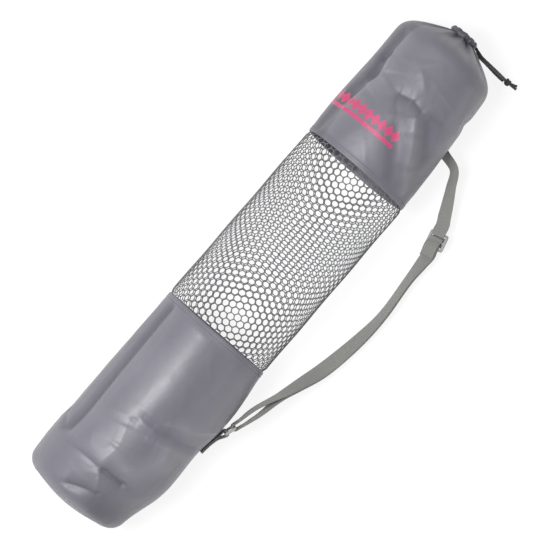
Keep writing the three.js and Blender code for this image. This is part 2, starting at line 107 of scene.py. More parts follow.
# The webbing and its fittings.
WEBBING_WIDTH = 20.0
WEBBING_THICKNESS = 1.3
WEBBING_GAP = 0.4
RIB_PITCH = 1.6
RIB_HEIGHT = 0.07
WEBBING_CROWN = 0.12
STRAP_REACH = 60.0
ANCHOR_PLACE = TOP_START + 84.0
ANCHOR_LENGTH = 26.0
ANCHOR_ANGLE = 118.0
ANCHOR_LIFT = 1.2
TAB_LENGTH = 34.0
TAB_ANGLE = 97.0
TAIL_LENGTH = 12.0
FITTING_CLEARANCE = 0.4
FITTING_BAR = 3.0
FITTING_CORNER = 3.0
FITTING_EDGE = 0.7
RING_OPENING = 9.0
RING_PLACE = NET_START - 66.0
RING_OFF_BAG = 5.5
RING_LIFT = 3.5
SLIDER_THICKNESS = 2.6
SLIDER_BEFORE_ANCHOR = 110.2
SLIDER_HOLD = 14.0
CLOTH_CLEARANCE = 0.45
LAYER_PITCH = WEBBING_THICKNESS + WEBBING_GAP
RING_PITCH = RING_OPENING + FITTING_BAR
EASING = 15.0
RUN_STEP = 3

# The drawstring.
CORD_DIAMETER = 3.6
KNOT_TURN = 2.9
CORD_TAIL = 9.0
CORD_CLEARANCE = 0.5
KNOT_PLACE = (4.0, 63.0, 4.7)
KNOT_LEAN = (62, 25)
KNOT_SIZE = 0.96
KNOT_SQUEEZE = 0.15
TAIL_SQUEEZE = 0.25
BRAID_STRANDS = 8
BRAID_LAY = 9.0
BRAID_MIDDLE = 0.6

# The drawstring's two ends, from the hem to the knot: past the neck, from the bag's axis towards
# the strap, and above the floor.
CORD_ROUTES = [
    [(0, 22, 53), (0.5, 34, 43), (2, 46, 27), (3, 55, 11)],
    [(1, 13, 33), (1.8, 26, 22), (2.2, 38, 11), (2, 48, 4.6), (0.2, 55, 3)],
]
CORD_EXITS = [(3, 108), (3, 144)]

# The outline seen from above: at is a share of a panel's length, radius a share of BAG_RADIUS, and
# side a shift towards the strap as a share of BAG_RADIUS.
OUTLINE_COLUMNS = ("at", "radius", "side")
BOTTOM_OUTLINE = [
    (0.0, 0.92, -0.052),
    (0.125, 0.973, -0.03),
    (0.25, 1.035, 0.024),
    (0.337, 1.041, 0.052),
    (0.52, 1.031, 0.036),
    (0.66, 1.052, 0.06),
    (0.813, 1.045, 0.052),
    (1.0, 1.005, 0.011),
]
NET_OUTLINE = [(0.0, 1.005, 0.011), (1.0, 0.997, -0.018)]
TOP_OUTLINE = [
    (0.0, 0.997, -0.018),
    (0.3, 1.0, -0.049),
    (0.65, 0.966, -0.062),
    (1.0, 0.934, -0.104),
]

# Folds from one point of a panel to another: at, angle, to at, to angle, width, height and shape.
# at is a share of the panel's length, an angle is in degrees from the top towards the strap, and
# width and height are millimetres. A soft fold is rounded and a crease has a crisp crest.
SOFT, CREASE = "soft", "crease"
BOTTOM_FOLDS = [
    (0.205, -38, 0.21, -1, 2.6, -1.6, CREASE),
    (0.21, -1, 0.225, 34, 7.0, -6.5, CREASE),
    (0.21, 1, 0.1, 17, 7.0, 3.2, CREASE),
    (0.05, -17, 0.13, 24, 8.0, -4.6, CREASE),
    (0.02, 20, 0.03, 64, 9.0, -3.0, CREASE),
    (0.21, -3, 0.34, -2, 12.0, 2.8, CREASE),
    (0.34, -2, 0.44, -8, 12.0, 2.8, CREASE),
    (0.52, -10, 1.0, -12, 17.0, 2.4, SOFT),
    (0.44, -27, 0.473, -9, 4.0, 1.2, CREASE),
    (0.468, -9, 0.478, -1, 3.0, -1.6, CREASE),
    (0.485, -3, 0.487, 18, 3.0, 1.6, CREASE),
    (0.51, -4, 0.512, 14, 4.0, -1.5, CREASE),
    (0.53, -16, 0.54, 6, 4.0, 1.0, CREASE),
    (0.445, 11, 0.455, 22, 3.5, 1.3, CREASE),
    (0.455, 22, 0.475, 40, 4.5, 2.0, CREASE),
    (0.475, 40, 0.515, 76, 5.5, 2.2, CREASE),
    (0.505, 19, 0.55, 72, 5.5, -2.4, CREASE),
    (0.54, 17, 0.6, 42, 5.0, 1.8, CREASE),
    (0.6, 42, 0.68, 78, 5.5, 2.2, CREASE),
    (0.36, 24, 0.99, 16, 16.0, -1.6, SOFT),
    (0.3, -78, 0.24, -58, 5.0, -2.4, SOFT),
    (0.26, -52, 0.99, -58, 6.5, -4.2, SOFT),
    (0.3, -72, 0.95, -76, 7.0, 1.6, SOFT),
    (0.25, -40, 0.99, -42, 7.0, 1.2, SOFT),
    (0.07, 34, 0.12, 62, 20.0, -3.4, SOFT),
    (0.27, 24, 0.4, 42, 13.0, 2.8, SOFT),
    (0.45, 40, 0.9, 46, 15.0, 1.6, SOFT),
]
TOP_FOLDS = [
    (0.57, -16, 0.6, 0, 6.5, -2.8, CREASE),
    (0.6, 0, 0.57, 17, 6.5, -2.6, CREASE),
    (0.57, -16, 0.44, -3, 6.0, -1.2, CREASE),
    (0.53, 11, 0.42, 22, 6.5, 3.2, CREASE),
    (0.42, 22, 0.22, 38, 7.0, 3.4, CREASE),
    (0.22, 38, 0.06, 58, 7.0, 3.0, CREASE),
    (0.36, 6, 0.1, 30, 9.0, -2.2, SOFT),
    (0.54, 27, 0.36, 46, 9.0, -2.4, SOFT),
    (0.6, 22, 0.62, 44, 6.0, -1.6, CREASE),
    (0.5, 52, 0.9, 58, 11.0, 1.4, SOFT),
    (0.74, 70, 0.74, 96, 6.75, -2.0, SOFT),
    (0.8, -13, 0.7, 4, 4.5, 1.0, CREASE),
    (0.76, 14, 0.735, 38, 4.5, 1.0, CREASE),
    (0.02, -66, 0.36, -58, 8.0, -3.4, SOFT),
    (0.36, -58, 0.58, -52, 9.0, -3.6, SOFT),
    (0.58, -52, 0.72, -58, 9.0, -3.6, SOFT),
    (0.72, -58, 1.0, -56, 9.0, -3.6, SOFT),
    (0.02, -50, 0.45, -44, 11.0, 3.0, CREASE),
    (0.45, -44, 0.62, -38, 11.0, 3.2, CREASE),
    (0.62, -38, 0.75, -47, 11.0, 3.2, CREASE),
    (0.75, -47, 1.0, -45, 11.0, 3.2, CREASE),
    (1.0, 40, 0.6, 46, 9.0, 2.0, CREASE),
]
PANELS = {
    "bottom": (BASE_BULGE, NET_START, BOTTOM_OUTLINE, BOTTOM_FOLDS),
    "net": (NET_START, TOP_START, NET_OUTLINE, []),
    "top": (TOP_START, RIM_START, TOP_OUTLINE, TOP_FOLDS),
}

# The webbing's way from the ring to where it is sewn on: a share of that way, a share of
# STRAP_REACH beyond the bag's side, a share of BAG_RADIUS above where it would rest, and its tilt.
STRAP_ROUTE = [
    (0.115, 0.48, 0.55, 74),
    (0.2, 0.66, 0.32, 56),
    (0.29, 0.84, 0.1, 40),
    (0.42, 0.98, 0, 50),
    (0.52, 1.02, 0, 64),
    (0.65, 0.95, 0.01, 66),
    (0.73, 0.92, 0.04, 50),
    (0.79, 0.86, 0.06, 43),
    (0.85, 0.7, 0.09, 45),
    (0.93, 0.42, 0.17, 60),
    (0.976, 0.23, 0.27, 66),
]

# How folds die out, where the webbing holds the cloth flat, and the cloth's waves: each one's
# length along the bag, its width across, and its height.
CREASE_END = 0.2
CREASE_FADES = 0.6
FOLDS_DIE_OVER = 0.2 * BAG_RADIUS
WAVES_DIE_OVER = 14
HELD_ALONG = 34
HELD_ROUND = 20
HELD_SHARE = 0.7
SLOW_WAVE = (70, 42, 0.8)
QUICK_WAVE = (26, 17, 0.22)
RIDGE_WAVE = (44, 30, 0.28)
RIDGE_SHARPNESS = 6

# The nylon's tones, with painted shade in fold valleys and a painted highlight on fold crests. Their
# limits are a fold's low and high height, and the tint's share at each.
BOTTOM_TONE = 124
TOP_TONE = 123
VALLEY_PAINTED_SHADE = (-4.5, 0, 0.85, 0)
CREST_PAINTED_HIGHLIGHT = (0.4, 3, 0, 0.75)


def smooth(share):
    share = np.clip(share, 0, 1)
    return share * share * (3 - 2 * share)


def between(places, values, at):
    """A smooth line through the rows of a table."""
    places = np.asarray(places, float)
    values = np.asarray(values, float)
    last = len(places) - 1
    index = np.arange(last + 1)
    before = np.maximum(index - 1, 0)
    after = np.minimum(index + 1, last)
    slopes = (values[after] - values[before]) / (places[after] - places[before])
    at = np.clip(at, places[0], places[-1])
    end = np.clip(np.searchsorted(places, at), 1, last)
    start = end - 1
    length = places[end] - places[start]
    share = (at - places[start]) / length
    bend = (1 - share) * slopes[start] - share * slopes[end]
    straight = values[start] + (values[end] - values[start]) * smooth(share)
    return straight + length * share * (1 - share) * bend


def outline_at(outline, at, column):
    places = [row[0] for row in outline]
    values = [row[OUTLINE_COLUMNS.index(column)] for row in outline]
    return between(places, values, at)


def fold_height(panel, along, angle):
    """The height of all folds at places on a panel. Folds die out at the panel's two seams."""
    start, end, _, folds = PANELS[panel]
    turned = np.arctan2(np.sin(angle), np.cos(angle)) * BAG_RADIUS
    total = np.zeros(np.broadcast(along, angle).shape)
    for at, from_angle, to_at, to_angle, width, height, shape in folds:
        from_x = start + at * (end - start)
        run_x = (to_at - at) * (end - start)
        from_y = from_angle * DEGREES * BAG_RADIUS
        run_y = (to_angle - from_angle) * DEGREES * BAG_RADIUS
        length = math.hypot(run_x, run_y)
        share = ((along - from_x) * run_x + (turned - from_y) * run_y) / length**2
        share = np.clip(share, 0, 1)
        off_x = along - from_x - share * run_x
        off_y = turned - from_y - share * run_y
        away = np.hypot(off_x, off_y) / width
        if shape == SOFT:
            total += height * np.exp(-away * away)
        else:
            ends = smooth(share / CREASE_END) * smooth((1 - share) / CREASE_END)
            total += height * (1 - CREASE_FADES + CREASE_FADES * ends) * np.exp(-away)
    from_seam = np.minimum(along - start, end - along)
    return smooth(from_seam / FOLDS_DIE_OVER) * total


def pleat_height(along, angle):
    """The gathers round the mouth, which grow from the rim to the neck and are held in by the hem."""
    share = smooth((along - RIM_START) / (RIM_CORNER + CONE_RISE))
    in_hem = smooth((along - NECK_PLACE + HEM_HOLDS_BEFORE) / HEM_HOLDS_OVER)
    share = share * (1 - HEM_HOLDS * in_hem)
    waver = PLEAT_WAVER * np.sin(3 * angle)
    sharp = 1 - 2 * np.abs(np.sin(FINE_PLEATS / 2 * angle + waver))
    return share * (PLEAT_HEIGHT * np.cos(PLEATS * angle) + FINE_PLEAT_HEIGHT * sharp)


def away_from_webbing(along, angle):
    """0 where the webbing is sewn on, where the cloth is held flat, and 1 elsewhere."""
    away = np.full(np.broadcast(along, angle).shape, np.inf)
    tab_middle = RING_PLACE - RING_PITCH - TAB_LENGTH / 2
    anchor_middle = ANCHOR_PLACE + ANCHOR_LENGTH / 2
    for middle, turn in ((tab_middle, TAB_ANGLE), (anchor_middle, ANCHOR_ANGLE)):
        turned = angle - turn * DEGREES
        turned = np.arctan2(np.sin(turned), np.cos(turned)) * BAG_RADIUS
        away = np.minimum(away, np.hypot((along - middle) / HELD_ALONG, turned / HELD_ROUND))
    return smooth((away - HELD_SHARE) / HELD_SHARE)


def wave_at(wave, spot, shift):
    """One of the cloth's waves, from about -1 to 1, at a spot on the bag."""
    along, across, high = spot
    length, width, _ = wave
    return noise.noise(Vector((along / length + shift, across / width, high / width)))


def crumple(along, angle, seed):
    """Slow waves and faint ridges of thin cloth, the same on every run."""
    flat_along, flat_angle = (x.ravel() for x in np.broadcast_arrays(along, angle))
    heights = np.empty(flat_along.size)
    for index, (place, turn) in enumerate(zip(flat_along.tolist(), flat_angle.tolist())):
        spot = (place, BAG_RADIUS * math.sin(turn), BAG_RADIUS * math.cos(turn))
        ridge = max(1 - 2 * abs(wave_at(RIDGE_WAVE, spot, 3 * seed)), 0)
        heights[index] = (
            SLOW_WAVE[2] * wave_at(SLOW_WAVE, spot, seed)
            + QUICK_WAVE[2] * wave_at(QUICK_WAVE, spot, -seed)
            + RIDGE_WAVE[2] * ridge**RIDGE_SHARPNESS
        )
    return heights.reshape(np.broadcast(along, angle).shape)


def bag_points(panel, along, angle, distance, lift=0.0):
    """Points of the bag, in the frame's directions. The cloth's underside lies flat on the floor."""
    start, end, outline, _ = PANELS[panel]
    at = (along - start) / (end - start)
    swell = outline_at(outline, at, "radius")
    side = outline_at(outline, at, "side") * BAG_RADIUS
    pleat = pleat_height(along, angle)
    folds = fold_height(panel, along, angle) * np.minimum(1, distance / BAG_RADIUS)
    radius = distance * swell + folds + pleat * np.minimum(1, distance / COLLAR_RADIUS) + lift
    height = BAG_RADIUS * swell - FLOOR_SINK + radius * np.cos(angle)
    height = (height + np.sqrt(height**2 + FLOOR_SOFTNESS**2)) / 2
    x = np.broadcast_to(along + pleat / 2, radius.shape)
    y = -radius * np.sin(angle) - side
    return np.stack([x, y, height], -1) + FRAME_SHIFT


def unit(vectors):
    return vectors / (np.linalg.norm(vectors, axis=-1, keepdims=True) + 1e-12)


def normals_of(points):
    """Unit normals of a grid of points whose columns close round the bag, facing out of it."""
    by_column = np.roll(points, -1, axis=1) - np.roll(points, 1, axis=1)
    normals = unit(np.cross(np.gradient(points, axis=0), by_column))
    middle = points[:, :, 1:].mean(axis=1, keepdims=True)
    return normals * np.sign(((points[:, :, 1:] - middle) * normals[:, :, 1:]).sum())


def grid(rows, columns, close_rows, row_places, column_places):
    """Faces of a grid of points whose columns close round, and their flat places."""
    row, column = np.meshgrid(
        np.arange(rows if close_rows else rows - 1), np.arange(columns), indexing="ij"
    )
    row = row.ravel()
    column = column.ravel()
    next_row = (row + 1) % rows
    next_column = (column + 1) % columns
    corners = [(row, column), (row, next_column), (next_row, next_column), (next_row, column)]
    faces = np.stack([r * columns + c for r, c in corners], -1)
    corner_columns = np.stack([column, column + 1, column + 1, column], -1)
    corner_rows = np.stack([row, row, row + 1, row + 1], -1)
    uv = np.stack([column_places[corner_columns], row_places[corner_rows]], -1)
    return faces.tolist(), uv.reshape(-1, 2)


def merged(shapes):
    """Several shapes of points, faces and flat places as one."""
    points = []
    faces = []
    uv = []
    first = 0
    for some_points, some_faces, some_uv in shapes:
        points.append(some_points)
        faces.extend([[first + corner for corner in face] for face in some_faces])
        uv.append(some_uv)
        first += len(some_points)
    return np.concatenate(points), faces, np.concatenate(uv)


def placed(name, data):
    made = bpy.data.objects.new(name, data)
    bpy.context.scene.collection.objects.link(made)
    return made


def add_piece(name, shape, material, slot, *nodes, join=0.0):
    """A mesh from points in millimetres, riding on the bag, that stands for the CAD nodes."""
    points, faces, uv = shape
    mesh = bpy.data.meshes.new(name)
    mesh.from_pydata((points * MM).tolist(), [], faces)
    layer = mesh.uv_layers.new(name="cloth")
    layer.data.foreach_set("uv", (uv * MM).astype(np.float32).ravel())
    tidy = bmesh.new()
    tidy.from_mesh(mesh)
    if join:
        bmesh.ops.remove_doubles(tidy, verts=tidy.verts, dist=join * MM)
    bmesh.ops.recalc_face_normals(tidy, faces=tidy.faces)
    tidy.to_mesh(mesh)
    tidy.free()
    mesh.polygons.foreach_set("use_smooth", [True] * len(mesh.polygons))
    mesh.materials.append(material)
    mesh.update()
    piece = placed(name, mesh)
    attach(piece, "root")
    if nodes:
        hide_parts(*nodes)
    return piece


# Camera: it looks straight down on the bag, from where the photograph was taken.
CAMERA_PLACE = Vector((-0.0624, 0.0264, 3.2))
CAMERA_TARGET = Vector((0.0001, 0.0258, 0.064))
IMAGE_UP = Vector((0.755, 0.656, 0.0))
CAMERA_SENSOR = 36
CAMERA_LENS = 187.3


def add_camera():
    data = bpy.data.cameras.new("camera")
    data.sensor_width = CAMERA_SENSOR
    data.lens = CAMERA_LENS
    data.clip_start = 0.05
    data.clip_end = 50
    camera = placed("camera", data)
    forward = (CAMERA_TARGET - CAMERA_PLACE).normalized()
    right = forward.cross(IMAGE_UP).normalized()
    up = right.cross(forward)
    camera.location = CAMERA_PLACE
    camera.rotation_euler = Matrix((right, up, -forward)).transposed().to_euler()
    bpy.context.scene.camera = camera


# Materials.
class Shader:
    """Builds one material's nodes."""

    def __init__(self, name):
        self.material = bpy.data.materials.new(name)
        self.material.use_nodes = True
        self.tree = self.material.node_tree
        self.surface = self.tree.nodes["Principled BSDF"]

    def node(self, kind, inputs=(), **settings):
        made = self.tree.nodes.new("ShaderNode" + kind)
        for key, value in settings.items():
            setattr(made, key, value)
        pairs = inputs.items() if isinstance(inputs, dict) else enumerate(inputs)
        for key, value in pairs:
            self.put(made.inputs[key], value)
        return made

    def put(self, socket, value):
        if isinstance(value, bpy.types.NodeSocket):
            self.tree.links.new(value, socket)
        else:
            socket.default_value = value

    def math(self, operation, *values):
        return self.node("Math", values, operation=operation).outputs[0]

    def noise(self, scale, detail=3.0, roughness=0.55, stretch=None):
        place = self.node("TexCoord").outputs["Object"]
        if stretch:
            place = self.node("Mapping", {"Vector": place, "Scale": stretch}).outputs[0]
        inputs = {"Vector": place, "Scale": scale, "Detail": detail, "Roughness": roughness}
        return self.node("TexNoise", inputs).outputs[0]

    def mix(self, share, first, second):
        made = self.node("Mix", data_type="RGBA")
        self.put(made.inputs[0], share)
        self.put(made.inputs[6], first)
        self.put(made.inputs[7], second)
        return made.outputs[2]

    def spread(self, value, low, high, to_low=0.0, to_high=1.0):
        names = ("Value", "From Min", "From Max", "To Min", "To Max")
        inputs = dict(zip(names, (value, low, high, to_low, to_high)))
        return self.node("MapRange", inputs).outputs[0]

    def flat_place(self):
        """The place on the flat cloth, in metres: across the width, and along the length."""
        uv = self.node("UVMap", uv_map="cloth").outputs[0]
        parts = self.node("SeparateXYZ", [uv]).outputs
        return parts[0], parts[1]

    def wave(self, place, pitch):
        """A row of rounded threads across a place, from 0 to 1."""
        turns = self.math("MULTIPLY", place, math.pi / (pitch * MM))
        return self.math("ABSOLUTE", self.math("SINE", turns))

    def bump(self, height, distance, strength=1.0, normal=None):
        inputs = {"Height": height, "Distance": distance * MM, "Strength": strength}
        if normal is not None:
            inputs["Normal"] = normal
        return self.node("Bump", inputs).outputs[0]

    def set(self, **values):
        for key, value in values.items():
            self.put(self.surface.inputs[key.replace("_", " ")], value)
        return self.material


def colour(red, green, blue):
    """A linear colour from the usual 0 to 255 values."""
    parts = [x / 255 for x in (red, green, blue)]
    return [x / 12.92 if x < 0.04045 else ((x + 0.055) / 1.055) ** 2.4 for x in parts] + [1.0]


def grey(value, blue=0):
    """A grey, with that much more blue."""
    return colour(value, value - blue / 5, value + blue)


def nylon_shader(name, tone):
    """Thin satin nylon: a fine plain weave, soft crinkles, slow changes of tone, painted shade in the
    folds' valleys and a painted highlight on their crests.
    """
    shader = Shader(name)
    across, along = shader.flat_place()
    weave = shader.math("MULTIPLY", shader.wave(across, 0.9), shader.wave(along, 0.9))
    crinkle = shader.noise(90, 5, 0.6)
    slow = shader.noise(14, 3, 0.5)
    fine = shader.noise(900, 2, 0.6)
    base = shader.mix(shader.spread(slow, 0.35, 0.68), grey(tone - 5, 8), grey(tone + 4, 8))
    fold = shader.node("Attribute", attribute_name="fold").outputs["Fac"]
    # The folds' valleys get painted shade and their crests a painted highlight.
    for value, limits, tint in (
        (fold, VALLEY_PAINTED_SHADE, grey(tone - 30, 8)),
        (fold, CREST_PAINTED_HIGHLIGHT, grey(tone + 20, 6)),
        (weave, (0, 1, 0.10, 0.0), grey(tone - 46, 6)),
        (fine, (0.5, 0.9, 0, 0.12), grey(tone + 26, 6)),
    ):
        base = shader.mix(shader.spread(value, *limits), base, tint)
    normal = shader.bump(weave, 0.12, 0.5, shader.bump(crinkle, 0.9, 0.35))
    shader.set(
        Base_Color=base,
        Roughness=shader.spread(crinkle, 0.3, 0.7, 0.35, 0.43),
        Normal=normal,
        Specular_IOR_Level=0.62,
    )
    return shader, base


def plain_nylon():
    return nylon_shader("nylon", BOTTOM_TONE)[0].material


# The print: a row of plain diamonds over a bar.
PRINT_MIDDLE = 536.0
PRINT_LOW_ANGLE = -84.0
DIAMOND_COUNT = 12
DIAMOND_PITCH = 9.6
DIAMOND_WIDTH = 5.6
DIAMOND_LENGTH = 7.6
BAR_OFF_MIDDLE = -11.2
BAR_WIDTH = 2.3
# Darker towards the hem: partly painted shade in the gathers, partly the dark cord inside the hem.
HEM_SHADE_AND_CORD_FROM = 668.0
HEM_SHADE_AND_CORD_AT = 700.0
HEM_SHADE_AND_CORD_TONE = 70
# Painted shade on the top panel's side away from the strap.
SIDE_PAINTED_SHADE_FROM = -54
SIDE_PAINTED_SHADE_AT = -60
SIDE_PAINTED_SHADE_TONE = 96
INK_EDGE = 0.1


def printed_nylon():
    """The top panel's nylon, with its print, painted shade on its side away from the strap, and darker
    towards the hem: partly painted shade in the gathers, partly the dark cord inside the hem.
    """
    shader, base = nylon_shader("printed_nylon", TOP_TONE)
    across, along = shader.flat_place()
    # Darker towards the hem: partly painted shade in the gathers, partly the dark cord inside the hem.
    gathered = shader.spread(along, HEM_SHADE_AND_CORD_FROM * MM, HEM_SHADE_AND_CORD_AT * MM, 0, 0.85)
    base = shader.mix(gathered, base, grey(HEM_SHADE_AND_CORD_TONE, 8))
    # Painted shade on the panel's side away from the strap.
    side = shader.spread(across, SIDE_PAINTED_SHADE_AT * MM, SIDE_PAINTED_SHADE_FROM * MM, 0.9, 0)
    base = shader.mix(side, base, grey(SIDE_PAINTED_SHADE_TONE, 8))
    low = PRINT_LOW_ANGLE * DEGREES * BAG_RADIUS * MM
    high = low + DIAMOND_COUNT * DIAMOND_PITCH * MM
    cell = shader.math("DIVIDE", shader.math("SUBTRACT", across, low), DIAMOND_PITCH * MM)
    beside = shader.math("ABSOLUTE", shader.math("SUBTRACT", shader.math("FRACT", cell), 0.5))
    beside = shader.math("MULTIPLY", beside, DIAMOND_PITCH / DIAMOND_WIDTH)
    off = shader.math("SUBTRACT", along, PRINT_MIDDLE * MM)
    up = shader.math("DIVIDE", shader.math("ABSOLUTE", off), DIAMOND_LENGTH * MM)
    diamond = shader.spread(shader.math("ADD", beside, up), 0.97, 1.03, 1, 0)
    bar = shader.math("ABSOLUTE", shader.math("SUBTRACT", off, BAR_OFF_MIDDLE * MM))
    bar = shader.spread(bar, (BAR_WIDTH - INK_EDGE) * MM, (BAR_WIDTH + INK_EDGE) * MM, 1, 0)
    shape = shader.math("MAXIMUM", diamond, bar)
    inside = shader.math("GREATER_THAN", across, low)
    inside = shader.math("MULTIPLY", inside, shader.math("LESS_THAN", across, high))
    wear = shader.spread(shader.noise(500, 3, 0.7), 0.3, 0.36, 0.55, 0.95)
    share = shader.math("MULTIPLY", shader.math("MULTIPLY", shape, inside), wear)
    ink = shader.mix(shader.noise(60), colour(198, 66, 112), colour(216, 86, 130))
    shader.set(Base_Color=shader.mix(share, base, ink))
    return shader.material


def yarn_material(name, dark, light, height, rough=0.75):
    """Twisted yarn."""
    shader = Shader(name)
    fibre = shader.noise(1400, 3, 0.7, stretch=(1, 2.4, 1))
    slow = shader.noise(40, 2)
    tone = shader.mix(shader.spread(fibre, 0.3, 0.75), dark, light)
    tone = shader.mix(shader.spread(slow, 0.3, 0.8, 0, 0.25), tone, light)
    normal = shader.bump(fibre, height, 0.6)
    shader.set(Base_Color=tone, Roughness=rough, Normal=normal, Sheen_Weight=0.15)
    return shader.material


def webbing_material():
    """Woven webbing: ribs across its length and a fine twill between them."""
    shader = Shader("webbing")
    across, along = shader.flat_place()
    rib = shader.wave(along, RIB_PITCH)
    thread = shader.wave(across, 1.1)
    shifted = shader.math("ADD", across, shader.math("MULTIPLY", along, 0.5))
    twill = shader.math("MULTIPLY", shader.wave(shifted, 2.2), 0.4)
    weave = shader.math("MULTIPLY", rib, shader.math("ADD", thread, twill))
    fibre = shader.noise(1200, 3, 0.7)
    slow = shader.noise(22, 3)
    tone = shader.mix(shader.spread(weave, 0.1, 1.1), grey(112, -2), grey(150, -4))
    tone = shader.mix(shader.spread(fibre, 0.35, 0.8, 0, 0.4), tone, grey(166, -4))
    tone = shader.mix(shader.spread(slow, 0.35, 0.7, 0, 0.2), tone, grey(118, -2))
    normal = shader.bump(weave, 0.25, 0.6)
    shader.set(Base_Color=tone, Roughness=0.72, Normal=normal, Sheen_Weight=0.2)
    return shader.material


def plastic_material():
    """Moulded plastic with a faint orange peel."""
    shader = Shader("moulded_plastic")
    peel = shader.noise(420, 3, 0.6)
    slow = shader.noise(60, 2)
    tone = shader.mix(shader.spread(slow, 0.3, 0.75), grey(158, -1), grey(172, -2))
    normal = shader.bump(peel, 0.2, 0.3)
    rough = shader.spread(peel, 0.3, 0.7, 0.32, 0.46)
    shader.set(Base_Color=tone, Roughness=rough, Normal=normal)
    return shader.material


# The drawstring.
def catmull_rom(points, steps):
    """Points on a centripetal Catmull-Rom line, with steps for each stretch."""
    points = [np.asarray(point, float) for point in points]
    padded = [2 * points[0] - points[1], *points, 2 * points[-1] - points[-2]]
    line = []
    for index in range(len(points) - 1):
        a, b, c, d = padded[index : index + 4]
        before, here, after = (
            max(np.linalg.norm(q - p) ** 0.5, 1e-4) for p, q in ((a, b), (b, c), (c, d))
        )
        leave = ((b - a) / before - (c - a) / (before + here) + (c - b) / here) * here
        arrive = ((c - b) / here - (d - b) / (here + after) + (d - c) / after) * here
        for share in np.arange(steps) / steps:
            cubic = 2 * b - 2 * c + leave + arrive
            square = 3 * c - 3 * b - 2 * leave - arrive
            line.append(b + leave * share + square * share**2 + cubic * share**3)
    return np.array([*line, points[-1]])


def lengths_of(line):
    steps = np.linalg.norm(np.diff(line, axis=0), axis=1)
    return np.concatenate([[0], np.cumsum(steps)])


def points_at(line, lengths, at):
    """Points of a line, or of its directions, at some lengths along it."""
    return np.stack([np.interp(at, lengths, column) for column in line.T], -1)


def evenly_spaced(line, pitch):
    lengths = lengths_of(line)
    count = max(2, int(round(lengths[-1] / pitch)) + 1)
    return points_at(line, lengths, np.linspace(0, lengths[-1], count))


def with_ends(points, faces, uv, sides):
    """A tube's shape with its first and its last ring of points closed by a face."""
    last = len(points) - sides
    faces += [list(range(sides))[::-1], list(range(last, last + sides))]
    return points, faces, np.concatenate([uv, np.zeros((2 * sides, 2))])


def tube(line, radius, sides, braid=0.0, close=False):
    """A round cord along a line, with a braid's diamonds raised on it."""
    if close:
        tangents = unit(np.roll(line, -1, axis=0) - np.roll(line, 1, axis=0))
    else:
        tangents = unit(np.gradient(line, axis=0))
    side = np.cross(tangents[0], [0.31, 0.22, 0.92])
    sideways = []
    for tangent in tangents:
        side = side - tangent * side.dot(tangent)
        side /= np.linalg.norm(side)
        sideways.append(side)
    sideways = np.array(sideways)
    other = np.cross(tangents, sideways)
    turn = np.arange(sides) * TURN / sides
    run = lengths_of(line)
    lay = run[:, None] * TURN / (BRAID_LAY * radius)
    left, right = (np.sin(BRAID_STRANDS / 2 * (turn[None] + way * lay / 2)) for way in (1, -1))
    swell = 1 + braid * (np.maximum(left, right) - BRAID_MIDDLE)
    around = np.cos(turn)[None, :, None] * sideways[:, None]
    around = around + np.sin(turn)[None, :, None] * other[:, None]
    points = line[:, None] + around * (radius * swell)[..., None]
    places_round = np.arange(sides + 1) * TURN * radius / sides
    faces, uv = grid(len(line), sides, close, np.append(run, run[-1]), places_round)
    shape = points.reshape(-1, 3), faces, uv
    return shape if close else with_ends(*shape, sides)


def beside_neck(point):
    along, side, height = point
    return np.array([NECK_PLACE + along, -side, height]) + FRAME_SHIFT


def cord_line(route, exit_row):
    along, turn = exit_row
    place = np.array([NECK_PLACE + along])
    angle = np.array([turn * DEGREES])
    start = bag_points("top", place, angle, COLLAR_RADIUS + CORD_CLEARANCE)[0]
    knot = beside_neck(KNOT_PLACE)
    points = [start, *[beside_neck(point) for point in route]]
    reach = KNOT_TURN + CORD_DIAMETER / 2 + CLOTH_CLEARANCE
    points[-1] = knot + unit(points[-1] - knot) * reach
    return evenly_spaced(catmull_rom(points, 24), 0.8)


def knot_shape():
    """A pulled-tight overhand knot and its two short ends."""
    centre = beside_neck(KNOT_PLACE)
    turns = np.linspace(0, TURN, 110, endpoint=False)
    loop = np.stack(
        [
            np.sin(turns) + 2 * np.sin(2 * turns),
            np.cos(turns) - 2 * np.cos(2 * turns),
            -1.5 * np.sin(3 * turns),
        ],
        -1,
    )
    lean_x, lean_z = KNOT_LEAN
    lean = Matrix.Rotation(lean_x * DEGREES, 3, "X") @ Matrix.Rotation(lean_z * DEGREES, 3, "Z")
    loop = (np.array(lean) @ (loop * KNOT_SIZE).T).T + centre
    tubes = [tube(loop, CORD_DIAMETER / 2 - KNOT_SQUEEZE, 20, 0.07, close=True)]
    low = CORD_DIAMETER / 2 - KNOT_PLACE[2] + 0.1
    for spread in (-1, 1):
        tail = [
            (0, 0, 0),
            (1 + 0.9 * spread, -KNOT_TURN - CORD_TAIL / 2, low + 0.3),
            (2 + 1.7 * spread, -KNOT_TURN - CORD_TAIL + 0.8 * spread, low),
        ]
        line = evenly_spaced(catmull_rom(tail, 20) + centre, 0.7)
        tubes.append(tube(line, CORD_DIAMETER / 2 - TAIL_SQUEEZE, 20, 0.06))
    return merged(tubes)


def add_drawstring(yarn):
    knot = add_piece("cord_knot", knot_shape(), yarn, "cord", "drawstring_knot")
    for number, (route, exit_row) in enumerate(zip(CORD_ROUTES, CORD_EXITS), 1):
        line = cord_line(route, exit_row)
        shape = tube(line, CORD_DIAMETER / 2, 24, 0.08)
        strand = add_piece(f"cord_{number}", shape, yarn, "cord", f"drawstring_{number}")


